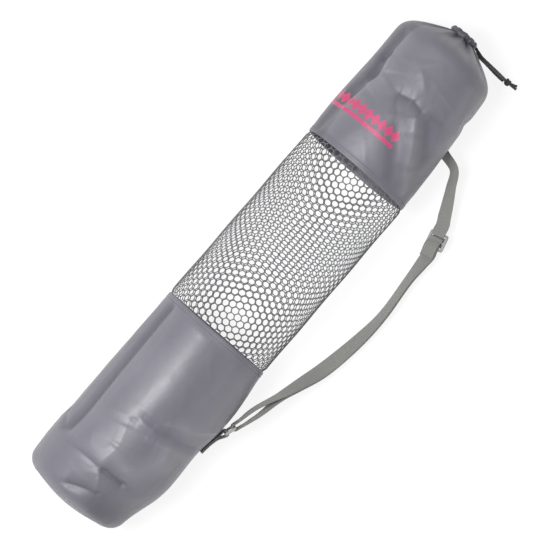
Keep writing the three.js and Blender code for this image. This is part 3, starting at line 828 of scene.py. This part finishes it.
# The cloth panels: rows of place along the bag, distance from its axis, and wall thickness.
def bottom_rows():
    turns = np.linspace(90, 0, 12) * DEGREES
    corner_along = BASE_BULGE + BASE_CORNER * (1 - np.sin(turns))
    corner_distance = BASE_RADIUS + (BAG_RADIUS - BASE_RADIUS) * np.cos(turns)
    straight = np.linspace(BASE_BULGE + BASE_CORNER, NET_START - SEAM_GAP, 138)[1:]
    along = np.concatenate([corner_along, straight])
    distance = np.concatenate([corner_distance, np.full(len(straight), BAG_RADIUS)])
    thick = CLOTH + (HEM - CLOTH) * smooth((along - NET_START + HEM_WIDTH) / HEM_STEP)
    return along, distance, thick


def top_rows():
    shoulder = RIM_START - SHOULDER_REACH
    straight = np.linspace(TOP_START + SEAM_GAP, shoulder, 90)
    share = np.linspace(0, 1, 40)[1:]
    guides = [
        (shoulder, BAG_RADIUS),
        (RIM_START + SHOULDER_REACH, BAG_RADIUS),
        (RIM_START + CONE_GUIDE[0], BAG_RADIUS - CONE_GUIDE[1]),
        (NECK_PLACE, NECK_RADIUS),
    ]
    weights = [(1 - share) ** 3, 3 * share * (1 - share) ** 2, 3 * share**2 * (1 - share), share**3]
    cone_along = sum(weight * guide[0] for weight, guide in zip(weights, guides))
    cone_distance = sum(weight * guide[1] for weight, guide in zip(weights, guides))
    hem_share = np.linspace(0, 1, 9)[1:]
    hem_along = NECK_PLACE + COLLAR_LENGTH * hem_share
    hem_distance = COLLAR_RADIUS + COLLAR_BULGE * np.sin(math.pi * hem_share)
    hem_distance = hem_distance - COLLAR_CLOSES * hem_share - COLLAR_INSET
    along = np.concatenate([straight, cone_along, hem_along])
    distance = np.concatenate([np.full(len(straight), BAG_RADIUS), cone_distance, hem_distance])
    thick = CLOTH + (HEM - CLOTH) * smooth((TOP_START + HEM_WIDTH - along) / HEM_STEP)
    thick += (COLLAR_THICKNESS - CLOTH) * smooth((along - NECK_PLACE) / 1.5)
    return along, distance, thick


def cloth_wall(panel, rows, columns, seed):
    """A closed wall of cloth: its outer rows, a rolled edge, its inner rows and a rolled edge."""
    along, distance, thick = rows
    angle = np.arange(columns) * TURN / columns + math.pi
    along_grid, angle_grid = np.meshgrid(along, angle, indexing="ij")
    distance_grid = np.repeat(distance[:, None], columns, 1)
    start, end, _, _ = PANELS[panel]
    calm = smooth(np.minimum(along_grid - start, end - along_grid) / WAVES_DIE_OVER)
    calm = calm * away_from_webbing(along_grid, angle_grid)
    wrinkles = crumple(along_grid, angle_grid, seed) * calm
    hem_lift = (thick[:, None] - CLOTH) * HEM_LIFTS * (distance_grid > BAG_RADIUS - 1)
    outer = bag_points(panel, along_grid, angle_grid, distance_grid, wrinkles + hem_lift)
    normals = normals_of(outer)
    edges = []
    for row, beside in ((-1, -2), (0, 1)):
        outward = unit(outer[row] - outer[beside])
        edge = outer[row] - normals[row] * thick[row] / 2 + outward * thick[row] * EDGE_ROLL
        edges.append(edge[None])
    inner = outer - normals * thick[:, None, None]
    loop = np.concatenate([outer, edges[0], inner[::-1], edges[1]])
    run = lengths_of(np.stack([along, distance], -1)) + along[0]
    run = np.concatenate([run, [run[-1] + 0.5], run[::-1], [run[0] - 0.5], [run[0]]])
    across = (np.arange(columns + 1) * TURN / columns - math.pi) * BAG_RADIUS
    faces, uv = grid(len(loop), columns, True, run, across)
    folds = fold_height(panel, along_grid, angle_grid)
    unfolded = np.zeros((1, columns))
    folds = np.concatenate([folds, unfolded, folds[::-1], unfolded])
    return (loop.reshape(-1, 3), faces, uv), folds.ravel()


def add_cloth(name, panel, rows, seed, material, node):
    """A panel's cloth, with the height of its folds kept for its material, which paints shade in their
    valleys and a highlight on their crests.
    """
    shape, folds = cloth_wall(panel, rows, CLOTH_COLUMNS, seed)
    piece = add_piece(name, shape, material, "nylon", node)
    heights = piece.data.attributes.new("fold", "FLOAT", "POINT")
    heights.data.foreach_set("value", folds.astype(np.float32))
    return piece


def base_shape():
    """The shallow domed round of cloth that closes the base end, a little gathered at its seam."""
    share = np.linspace(0, 1, BASE_ROWS)
    rim = BASE_RADIUS - BASE_GAP
    angle = np.arange(BASE_COLUMNS) * TURN / BASE_COLUMNS
    share_grid, angle_grid = np.meshgrid(share, angle, indexing="ij")
    outer = bag_points("bottom", BASE_BULGE * share_grid**2, angle_grid, rim * share_grid)
    gathers = BASE_GATHER_HEIGHT * np.cos(BASE_GATHERS * angle_grid)
    outer[..., 0] += gathers * smooth((share_grid - 0.75) / 0.25)
    inner = outer + np.array([CLOTH, 0, 0])
    loop = np.concatenate([outer, inner[::-1]])
    across = (np.arange(BASE_COLUMNS + 1) * TURN / BASE_COLUMNS) * BASE_RADIUS
    run = np.concatenate([share, 1.02 + share]) * rim
    faces, uv = grid(len(loop), BASE_COLUMNS, False, np.append(run, run[-1]), across)
    return loop.reshape(-1, 3), faces, uv


def net_shape():
    """The knitted net: six-sided cells, each a ring of rounded strand round its hole."""
    column_angle = TURN / NET_COLUMNS
    column_pitch = column_angle * BAG_RADIUS
    low = NET_START - NET_UNDER
    pitch = (TOP_START - NET_START + 2 * NET_UNDER) / (NET_ROWS + 0.5)
    step = np.arange(CELL_POINTS)
    turns = step * 360 / CELL_POINTS * DEGREES
    is_corner = step % 2 == 1
    cell_reach = np.where(is_corner, pitch / math.sqrt(3), pitch / 2)
    hole_reach = (pitch - NET_STRAND) / 2 * np.where(is_corner, HOLE_CORNER, 1)
    squeeze = column_pitch / (pitch * math.sqrt(3) / 2)
    row, column = np.meshgrid(np.arange(NET_ROWS), np.arange(NET_COLUMNS), indexing="ij")
    middle_along = (low + (row + 0.5 + (column % 2) / 2) * pitch).ravel()
    middle_turn = (column * column_angle).ravel()
    points = []
    for reach, lift in zip((cell_reach, hole_reach, hole_reach, cell_reach), STRAND_HEIGHTS):
        place = middle_along[:, None] + (reach * np.cos(turns))[None]
        angle = middle_turn[:, None] + (reach * np.sin(turns))[None] * squeeze / BAG_RADIUS
        inside = np.minimum(place - NET_START, TOP_START - place)
        tuck = NET_TUCK * (1 - smooth((inside + 1) / NET_TUCK_OVER))
        sway = NET_SWAY * np.sin(place / 23) * np.sin(3 * angle + place / 31)
        distance = BAG_RADIUS + lift - tuck - NET_CLEARANCE
        points.append(bag_points("net", place, angle, distance, sway))
    stack = np.stack(points, 1)
    after = (step + 1) % CELL_POINTS
    faces = []
    for first in range(0, (len(points) - 1) * CELL_POINTS, CELL_POINTS):
        second = first + CELL_POINTS
        faces.append(np.stack([first + step, first + after, second + after, second + step], -1))
    first_points = np.arange(middle_along.size)[:, None, None] * len(points) * CELL_POINTS
    all_faces = (first_points + np.concatenate(faces)[None]).reshape(-1, 4)
    flat = np.stack([stack[..., 1], stack[..., 0]], -1).reshape(-1, 2)
    return stack.reshape(-1, 3), all_faces.tolist(), flat[all_faces.ravel()]


# The webbing's middle line.
TAB_OFFSET = CLOTH_CLEARANCE + WEBBING_THICKNESS + WEBBING_GAP / 2
ANCHOR_OFFSET = CLOTH_CLEARANCE + WEBBING_THICKNESS / 2
LINE_STEPS = 40


def on_bag(panel, along, turn, offset):
    place = bag_points(panel, np.array([along]), np.array([turn * DEGREES]), BAG_RADIUS + offset)[0]
    return place, 180 - turn


def strap_stations():
    """Places that the webbing's line goes through, each with the webbing's tilt in degrees."""
    bar = RING_PLACE - RING_PITCH
    rows = [
        on_bag("bottom", bar - TAB_LENGTH, TAB_ANGLE, TAB_OFFSET),
        on_bag("bottom", bar - TAB_LENGTH / 2, TAB_ANGLE, TAB_OFFSET),
        on_bag("bottom", bar, TAB_ANGLE, RING_OFF_BAG),
        on_bag("bottom", RING_PLACE, TAB_ANGLE, RING_OFF_BAG + RING_LIFT),
    ]
    for share, out, rise, tilt in STRAP_ROUTE:
        lean = tilt * DEGREES
        layers = (LAYER_PITCH + WEBBING_THICKNESS) / 2
        resting = WEBBING_WIDTH / 2 * math.sin(lean) + layers * math.cos(lean) + CLOTH_CLEARANCE
        along = RING_PLACE + share * (ANCHOR_PLACE - RING_PLACE)
        place = (along, -BAG_RADIUS - STRAP_REACH * out, resting + BAG_RADIUS * rise)
        rows.append((np.array(place) + FRAME_SHIFT, tilt))
    return rows + [
        on_bag("top", ANCHOR_PLACE, ANCHOR_ANGLE, ANCHOR_OFFSET + ANCHOR_LIFT),
        on_bag("top", ANCHOR_PLACE + ANCHOR_LENGTH / 2, ANCHOR_ANGLE, ANCHOR_OFFSET),
        on_bag("top", ANCHOR_PLACE + ANCHOR_LENGTH, ANCHOR_ANGLE, ANCHOR_OFFSET),
    ]


stations = strap_stations()
strap_line = catmull_rom([place for place, _ in stations], LINE_STEPS)
line_places = lengths_of(strap_line)
line_tangents = unit(np.gradient(strap_line, line_places, axis=0))
station_places = line_places[::LINE_STEPS]
LINE_LENGTH = line_places[-1]
RING_BAR = station_places[3]
SLIDER_PLACE = station_places[-3] - SLIDER_BEFORE_ANCHOR


def line_frame(distance):
    """The line's place, its direction, and the webbing's ways to its lower edge and out of its face."""
    distance = np.clip(distance, 0, LINE_LENGTH)
    place = points_at(strap_line, line_places, distance)
    along = unit(points_at(line_tangents, line_places, distance))
    outward = unit(np.cross(along, [0, 0, 1]))
    rising = np.cross(outward, along)
    tilt = between(station_places, [row[1] for row in stations], distance)[..., None] * DEGREES
    face = rising * np.cos(tilt) - outward * np.sin(tilt)
    return place, along, np.cross(face, along), face


FITTINGS = [(RING_BAR - RING_PITCH / 2, RING_PITCH), (SLIDER_PLACE, SLIDER_HOLD)]


def on_line(distance, across, height):
    """A point of the webbing. It runs straight through each fitting and follows the line elsewhere."""
    across = across[..., None]
    height = height[..., None]
    place, _, lower, face = line_frame(distance)
    points = place + across * lower + height * face
    for fitting, hold in FITTINGS:
        middle, along, lower, face = line_frame(np.array(fitting))
        away = (distance - fitting)[..., None]
        rigid = middle + away * along + across * lower + height * face
        free = smooth((np.abs(away) - hold) / EASING)
        points = points * free + rigid * (1 - free)
    return points


def bend(centre, height, radius, from_angle, to_angle):
    """Points round a bend, in the plane along the line and out of the webbing's face."""
    steps = max(2, round(abs(to_angle - from_angle) / 10))
    angles = np.linspace(from_angle, to_angle, steps + 1) * DEGREES
    return [(centre + radius * math.cos(a), height + radius * math.sin(a)) for a in angles]


def eased_run(start, end):
    """Points from one place to another whose height eases from the one to the other."""
    steps = max(1, round(abs(end[0] - start[0]) / RUN_STEP))
    shares = np.linspace(0, 1, steps + 1)
    heights = start[1] + (end[1] - start[1]) * smooth(shares)
    return list(zip((start[0] + (end[0] - start[0]) * shares).tolist(), heights.tolist()))


def eased_way(*places):
    """Points through several places, easing in height from each to the next."""
    return [point for start, end in zip(places, places[1:]) for point in eased_run(start, end)]


def webbing_shape(route):
    """Woven webbing along a route: rounded edges, and ribs across both its faces."""
    line = np.array(route)
    line = line[np.append(True, np.linalg.norm(np.diff(line, axis=0), axis=1) > 0.01)]
    line = evenly_spaced(line, RIB_PITCH / 2)
    ways = unit(np.gradient(line, axis=0))
    normals = np.stack([-ways[:, 1], ways[:, 0]], -1)
    half = WEBBING_THICKNESS / 2
    flat = WEBBING_WIDTH / 2 - half
    upper = np.linspace(-flat, flat, 9)
    level = np.full(9, half)
    edge = np.array([45, 90, 135]) * DEGREES
    rounding = half * np.sin(edge)
    across = np.concatenate([upper, flat + rounding, upper[::-1], -flat - rounding])
    height = np.concatenate([level, half * np.cos(edge), -level, -half * np.cos(edge)])
    rib = RIB_HEIGHT * (2 * (np.arange(len(line)) % 2) - 1)
    crown = WEBBING_CROWN * (1 - (across / (WEBBING_WIDTH / 2)) ** 2)
    raised = rib[:, None] + crown[None] - RIB_HEIGHT - WEBBING_CROWN / 2
    height = height[None] + np.sign(height)[None] * raised
    across_grid = np.repeat(across[None], len(line), 0)
    distance = line[:, :1] + normals[:, :1] * height
    out = line[:, 1:] + normals[:, 1:] * height
    points = on_line(distance, across_grid, out)
    run = lengths_of(line)
    count = len(across)
    faces, uv = grid(len(line), count, False, np.append(run, run[-1]), np.append(across, across[0]))
    return with_ends(points.reshape(-1, 3), faces, uv, count)


# Where the webbing turns round the ring's and the slider's bars.
def over_bar(layer, bar):
    return bar / 2 + FITTING_CLEARANCE + WEBBING_THICKNESS / 2 + layer * LAYER_PITCH


RING_TURN = FITTING_BAR / math.sqrt(2) + FITTING_CLEARANCE + WEBBING_THICKNESS / 2
BEND_INSET = 0.5
BEND_DROP = SLIDER_THICKNESS / 4
INNER_TURN = over_bar(0, SLIDER_THICKNESS) - BEND_DROP
INNER_CENTRE = FITTING_BAR / 2 + BEND_INSET
OUTER_TURN = over_bar(0, SLIDER_THICKNESS)
OUTER_CENTRE = INNER_CENTRE + INNER_TURN + LAYER_PITCH + OUTER_TURN
SLIDER_OPENING = OUTER_CENTRE - BEND_INSET - FITTING_BAR / 2
SLIDER_HALF = FITTING_BAR * 1.5 + SLIDER_OPENING
EASE_IN = 18.0
LOOP_OPEN = 2.6 * LAYER_PITCH
LOOP_WIDEST = 28.0
LOOP_CLOSES = 70.0
FLAT = LAYER_PITCH / 2
TAIL_START = -SLIDER_HALF - EASE_IN
TAIL_HEIGHT = FLAT + LAYER_PITCH


def from_slider(distance, height):
    return SLIDER_PLACE + distance, height


def from_ring(distance, height):
    return RING_BAR + distance, height


def over_slider(layer):
    return over_bar(layer, SLIDER_THICKNESS)


def slider_bend(centre, height, radius, from_angle, to_angle):
    return bend(SLIDER_PLACE + centre, height, radius, from_angle, to_angle)


def loop_side(way):
    """Half of the strap's loop, from the ring to the slider: above the line for 1, below for -1."""
    return [
        from_ring(0, way * RING_TURN),
        from_ring(LOOP_WIDEST, way * LOOP_OPEN),
        from_ring(LOOP_CLOSES, way * FLAT),
        from_slider(TAIL_START, way * FLAT),
    ]


def strap_way():
    """From the top panel through the slider, round the ring, and back to the slider's middle bar."""
    wide = INNER_TURN + LAYER_PITCH
    down = eased_run(from_slider(-SLIDER_HALF, over_slider(2)), from_slider(TAIL_START, TAIL_HEIGHT))
    tail = down[: round((len(down) - 1) * TAIL_LENGTH / EASE_IN) + 1]
    arriving = [
        (LINE_LENGTH, 0),
        from_slider(SLIDER_HALF + EASE_IN, 0),
        from_slider(SLIDER_HALF, over_slider(0)),
    ]
    return [
        *eased_way(*arriving),
        *slider_bend(OUTER_CENTRE, 0, OUTER_TURN, 90, 180),
        *slider_bend(INNER_CENTRE, -BEND_DROP, wide, 0, -90),
        *slider_bend(-INNER_CENTRE, -BEND_DROP, wide, -90, -180),
        *slider_bend(-OUTER_CENTRE, 0, OUTER_TURN, 0, 90),
        *eased_way(from_slider(-SLIDER_HALF, over_slider(0)), *loop_side(-1)[::-1]),
        *bend(RING_BAR, 0, RING_TURN, 270, 90),
        *eased_way(*loop_side(1), from_slider(-SLIDER_HALF, over_slider(1))),
        *slider_bend(-OUTER_CENTRE, 0, OUTER_TURN + LAYER_PITCH, 90, 0),
        *slider_bend(-INNER_CENTRE, -BEND_DROP, INNER_TURN, -180, -90),
        *slider_bend(INNER_CENTRE, -BEND_DROP, INNER_TURN, -90, 0),
        *slider_bend(INNER_CENTRE, BEND_DROP, INNER_TURN, 0, 90),
        from_slider(0, over_slider(0)),
        from_slider(-INNER_CENTRE - INNER_TURN, over_slider(1) + BEND_DROP),
        from_slider(-OUTER_CENTRE, over_slider(2)),
        *tail,
    ]


def tab_way():
    """The doubled tab: along the bag, round the ring's lower bar, and back over itself."""
    bar = RING_BAR - RING_PITCH
    closes = bar - TAB_LENGTH / 3
    root = bar - TAB_LENGTH
    return [
        *eased_way((root, -FLAT), (closes, -FLAT), (bar, -RING_TURN)),
        *bend(bar, 0, RING_TURN, -90, 90),
        *eased_way((bar, RING_TURN), (closes, FLAT), (root, FLAT)),
    ]


def rounded_outline(length, width, corner, middle=0.0):
    """A closed outline with round corners, in the plane of a fitting."""
    across = length / 2 - corner
    high = width / 2 - corner
    points = []
    for turn, x, y in ((0, 1, 1), (90, -1, 1), (180, -1, -1), (270, 1, -1)):
        for angle in np.linspace(turn, turn + 90, 7) * DEGREES:
            place = middle + x * across + corner * math.cos(angle)
            points.append((place, y * high + corner * math.sin(angle)))
    return points


def fitting_shape(openings, opening, length, thickness, fitting):
    """A moulded frame with rounded edges and one or more openings for the webbing."""
    inside = WEBBING_WIDTH + 4 * FITTING_CLEARANCE
    outlines = [rounded_outline(length, inside + 2 * FITTING_BAR, FITTING_CORNER)]
    outlines += [rounded_outline(opening, inside, FITTING_BAR / 4 + 0.1, x) for x in openings]
    curve = bpy.data.curves.new("fitting", "CURVE")
    curve.dimensions = "2D"
    curve.fill_mode = "BOTH"
    curve.extrude = thickness / 2 - FITTING_EDGE
    curve.bevel_depth = FITTING_EDGE
    curve.bevel_resolution = 3
    curve.offset = -FITTING_EDGE
    for outline in outlines:
        spline = curve.splines.new("POLY")
        spline.points.add(len(outline) - 1)
        for point, (x, y) in zip(spline.points, outline):
            point.co = (x, y, 0, 1)
        spline.use_cyclic_u = True
    source = placed("fitting", curve)
    solid = source.evaluated_get(bpy.context.evaluated_depsgraph_get()).to_mesh()
    corners = np.array([vertex.co[:] for vertex in solid.vertices])
    faces = [list(polygon.vertices) for polygon in solid.polygons]
    bpy.data.objects.remove(source)
    middle, along, lower, face = line_frame(np.array(fitting))
    points = middle + corners[:, :1] * along + corners[:, 1:2] * lower + corners[:, 2:] * face
    flat = np.concatenate([corners[face_corners, :2] for face_corners in faces])
    return points, faces, flat


# Stitches: each is a short thread that rises from the cloth and goes back into it.
STITCH_LENGTH = 2.6
STITCH_PITCH = 3.3
THREAD_RADIUS = 0.27
THREAD_RISE = 0.3
FROM_EDGE = 2.2
FROM_HEM = 1.6
STITCH_ROWS = [
    ("bottom", NET_START - FROM_EDGE, BAG_RADIUS, HEM),
    ("bottom", NET_START - HEM_WIDTH + FROM_HEM, BAG_RADIUS, HEM),
    ("top", TOP_START + FROM_EDGE, BAG_RADIUS, HEM),
    ("top", TOP_START + HEM_WIDTH - FROM_HEM, BAG_RADIUS, HEM),
    ("top", NECK_PLACE + 1.2, COLLAR_RADIUS - 0.1, CLOTH),
    ("bottom", BASE_BULGE + 0.6, BASE_RADIUS + 4.4, CLOTH),
]


def stitch_shapes(line, normals, pitch=STITCH_PITCH, length=STITCH_LENGTH):
    places = lengths_of(line)
    count = max(1, int((places[-1] + pitch - length) // pitch))
    start = (places[-1] - (count - 1) * pitch - length) / 2
    shapes = []
    for index in range(count):
        at = start + index * pitch + np.linspace(0, length, 6)
        rise = THREAD_RISE * np.sin(np.linspace(0, math.pi, 6)) - THREAD_RADIUS * 0.6
        middle = points_at(line, places, at) + points_at(normals, places, at) * rise[:, None]
        shapes.append(tube(middle, THREAD_RADIUS, 6))
    return shapes


def stitches_round(panel, along, distance, lift):
    """One row of stitches round the bag."""
    angle = np.linspace(0, TURN, 721)
    place = np.full(angle.shape, float(along))
    line = bag_points(panel, place, angle, np.full(angle.shape, float(distance)), lift)
    outward = bag_points(panel, place, angle, np.full(angle.shape, distance + 1.0), lift) - line
    outward[:, 2] += 1e-3 * np.cos(angle)
    return stitch_shapes(line, unit(outward))


def stitches_on_webbing(rows, height):
    """Rows of stitches on a layer of webbing, each from one distance and side to another."""
    shapes = []
    for from_distance, from_across, to_distance, to_across in rows:
        share = np.linspace(0, 1, 40)
        distance = from_distance + (to_distance - from_distance) * share
        across = from_across + (to_across - from_across) * share
        line = on_line(distance, across, np.full(40, height))
        above = on_line(distance, across, np.full(40, height + 1.0))
        shapes += stitch_shapes(line, unit(above - line), 2.6, 2.0)
    return shapes


def boxed_cross(start, end):
    """The rows of a sewn box with a cross in it."""
    side = WEBBING_WIDTH / 2 - 2.4
    return [
        (start, -side, end, -side),
        (end, -side, end, side),
        (end, side, start, side),
        (start, side, start, -side),
        (start, -side, end, side),
        (start, side, end, -side),
    ]


def add_bag():
    nylon = plain_nylon()
    printed = printed_nylon()
    bottom = add_cloth("bottom_cloth", "bottom", bottom_rows(), 1.7, nylon, "bottom_panel")
    top = add_cloth("top_cloth", "top", top_rows(), 5.2, printed, "top_panel")
    base = add_piece("base_cloth", base_shape(), nylon, "nylon", "base_panel", join=0.05)
    yarn = yarn_material("net_yarn", grey(92, 3), grey(134, 3), 0.2)
    net = add_piece("net_mesh", net_shape(), yarn, "net", "net_panel", join=0.05)


def add_stitches():
    thread = yarn_material("sewing_thread", grey(96, 8), grey(128, 8), 0.1)
    rows = []
    for panel, along, distance, thick in STITCH_ROWS:
        rows += stitches_round(panel, along, distance, (thick - CLOTH) * HEM_LIFTS)
    add_piece("bag_stitches", merged(rows), thread, "nylon")


def add_strap():
    woven = webbing_material()
    plastic = plastic_material()
    # The strap's stitches are real, but their thread is made dark to stand in for painted shadow lines,
    # such as the one under the tail's cut end.
    thread = yarn_material("strap_thread_and_painted_shadow", grey(52, -1), grey(84, -2), 0.1)
    add_piece("strap", webbing_shape(strap_way()), woven, "webbing", "shoulder_strap")
    add_piece("tab", webbing_shape(tab_way()), woven, "webbing", "ring_tab")
    ring = fitting_shape([0], RING_OPENING, RING_PITCH + FITTING_BAR, FITTING_BAR, FITTINGS[0][0])
    add_piece("ring", ring, plastic, "fittings", "strap_ring", join=0.01)
    middle = (FITTING_BAR + SLIDER_OPENING) / 2
    slider = fitting_shape(
        [-middle, middle], SLIDER_OPENING, 2 * SLIDER_HALF, SLIDER_THICKNESS, FITTINGS[1][0]
    )
    add_piece("slider", slider, plastic, "fittings", "strap_slider", join=0.01)
    bar = RING_BAR - RING_PITCH
    top_face = FLAT + WEBBING_THICKNESS / 2
    rows = stitches_on_webbing(boxed_cross(bar - TAB_LENGTH + 2.5, bar - TAB_LENGTH / 3 - 2), top_face)
    anchor = boxed_cross(LINE_LENGTH - ANCHOR_LENGTH + 2, LINE_LENGTH - 2.5)
    rows += stitches_on_webbing(anchor, WEBBING_THICKNESS / 2)
    # The tail's seam sits close to the tail's end, so its dark row of stitches stands in for a painted
    # shadow under the cut end.
    seam = TAIL_LENGTH - 1.2
    seam_place = SLIDER_PLACE - SLIDER_HALF - seam
    side = WEBBING_WIDTH / 2 - 2
    drop = (over_slider(2) - TAIL_HEIGHT) * float(smooth(seam / EASE_IN))
    seam_height = over_slider(2) - drop + WEBBING_THICKNESS / 2
    rows += stitches_on_webbing([(seam_place, -side, seam_place, side)], seam_height)
    add_piece("strap_stitches", merged(rows), thread, "webbing")


# Floor and light. A light's row is its name, place, size in metres and power in watts.
FLOOR_GLOW = 0.86
WORLD_STRENGTH = 0.31
LIGHTS = [
    ("key_light", (-0.5, 0.62, 2.25), 0.8, 49),
    ("side_light", (-0.4, 1.8, 1.6), 0.7, 2.5),
]


def add_floor():
    mesh = bpy.data.meshes.new("floor")
    mesh.from_pydata([(-6, -6, 0), (6, -6, 0), (6, 6, 0), (-6, 6, 0)], [], [(0, 1, 2, 3)])
    floor = placed("floor", mesh)
    floor.location.z = -0.0004
    shader = Shader("pale_floor")
    paper = shader.mix(shader.noise(3), grey(112), grey(118))
    shader.set(Base_Color=paper, Roughness=0.85, Emission_Color=grey(255), Emission_Strength=FLOOR_GLOW)
    mesh.materials.append(shader.material)


def add_light(name, place, size, power):
    data = bpy.data.lights.new(name, "AREA")
    data.shape = "SQUARE"
    data.size = size
    data.energy = power
    light = placed(name, data)
    light.location = place
    light.rotation_euler = (-Vector(place)).to_track_quat("-Z", "Y").to_euler()
    light.visible_camera = False


def add_world(strength):
    world = bpy.data.worlds.new("world")
    world.use_nodes = True
    background = world.node_tree.nodes["Background"]
    background.inputs[0].default_value = (1, 1, 1, 1)
    background.inputs[1].default_value = strength
    bpy.context.scene.world = world


add_camera()
add_drawstring(yarn_material("cord_yarn", grey(40, 3), grey(84, 3), 0.2))
add_bag()
add_strap()
add_stitches()
add_floor()
for light_row in LIGHTS:
    add_light(*light_row)
add_world(WORLD_STRENGTH)
bpy.context.scene.view_settings.view_transform = "Standard"
bpy.context.scene.view_settings.look = "None"
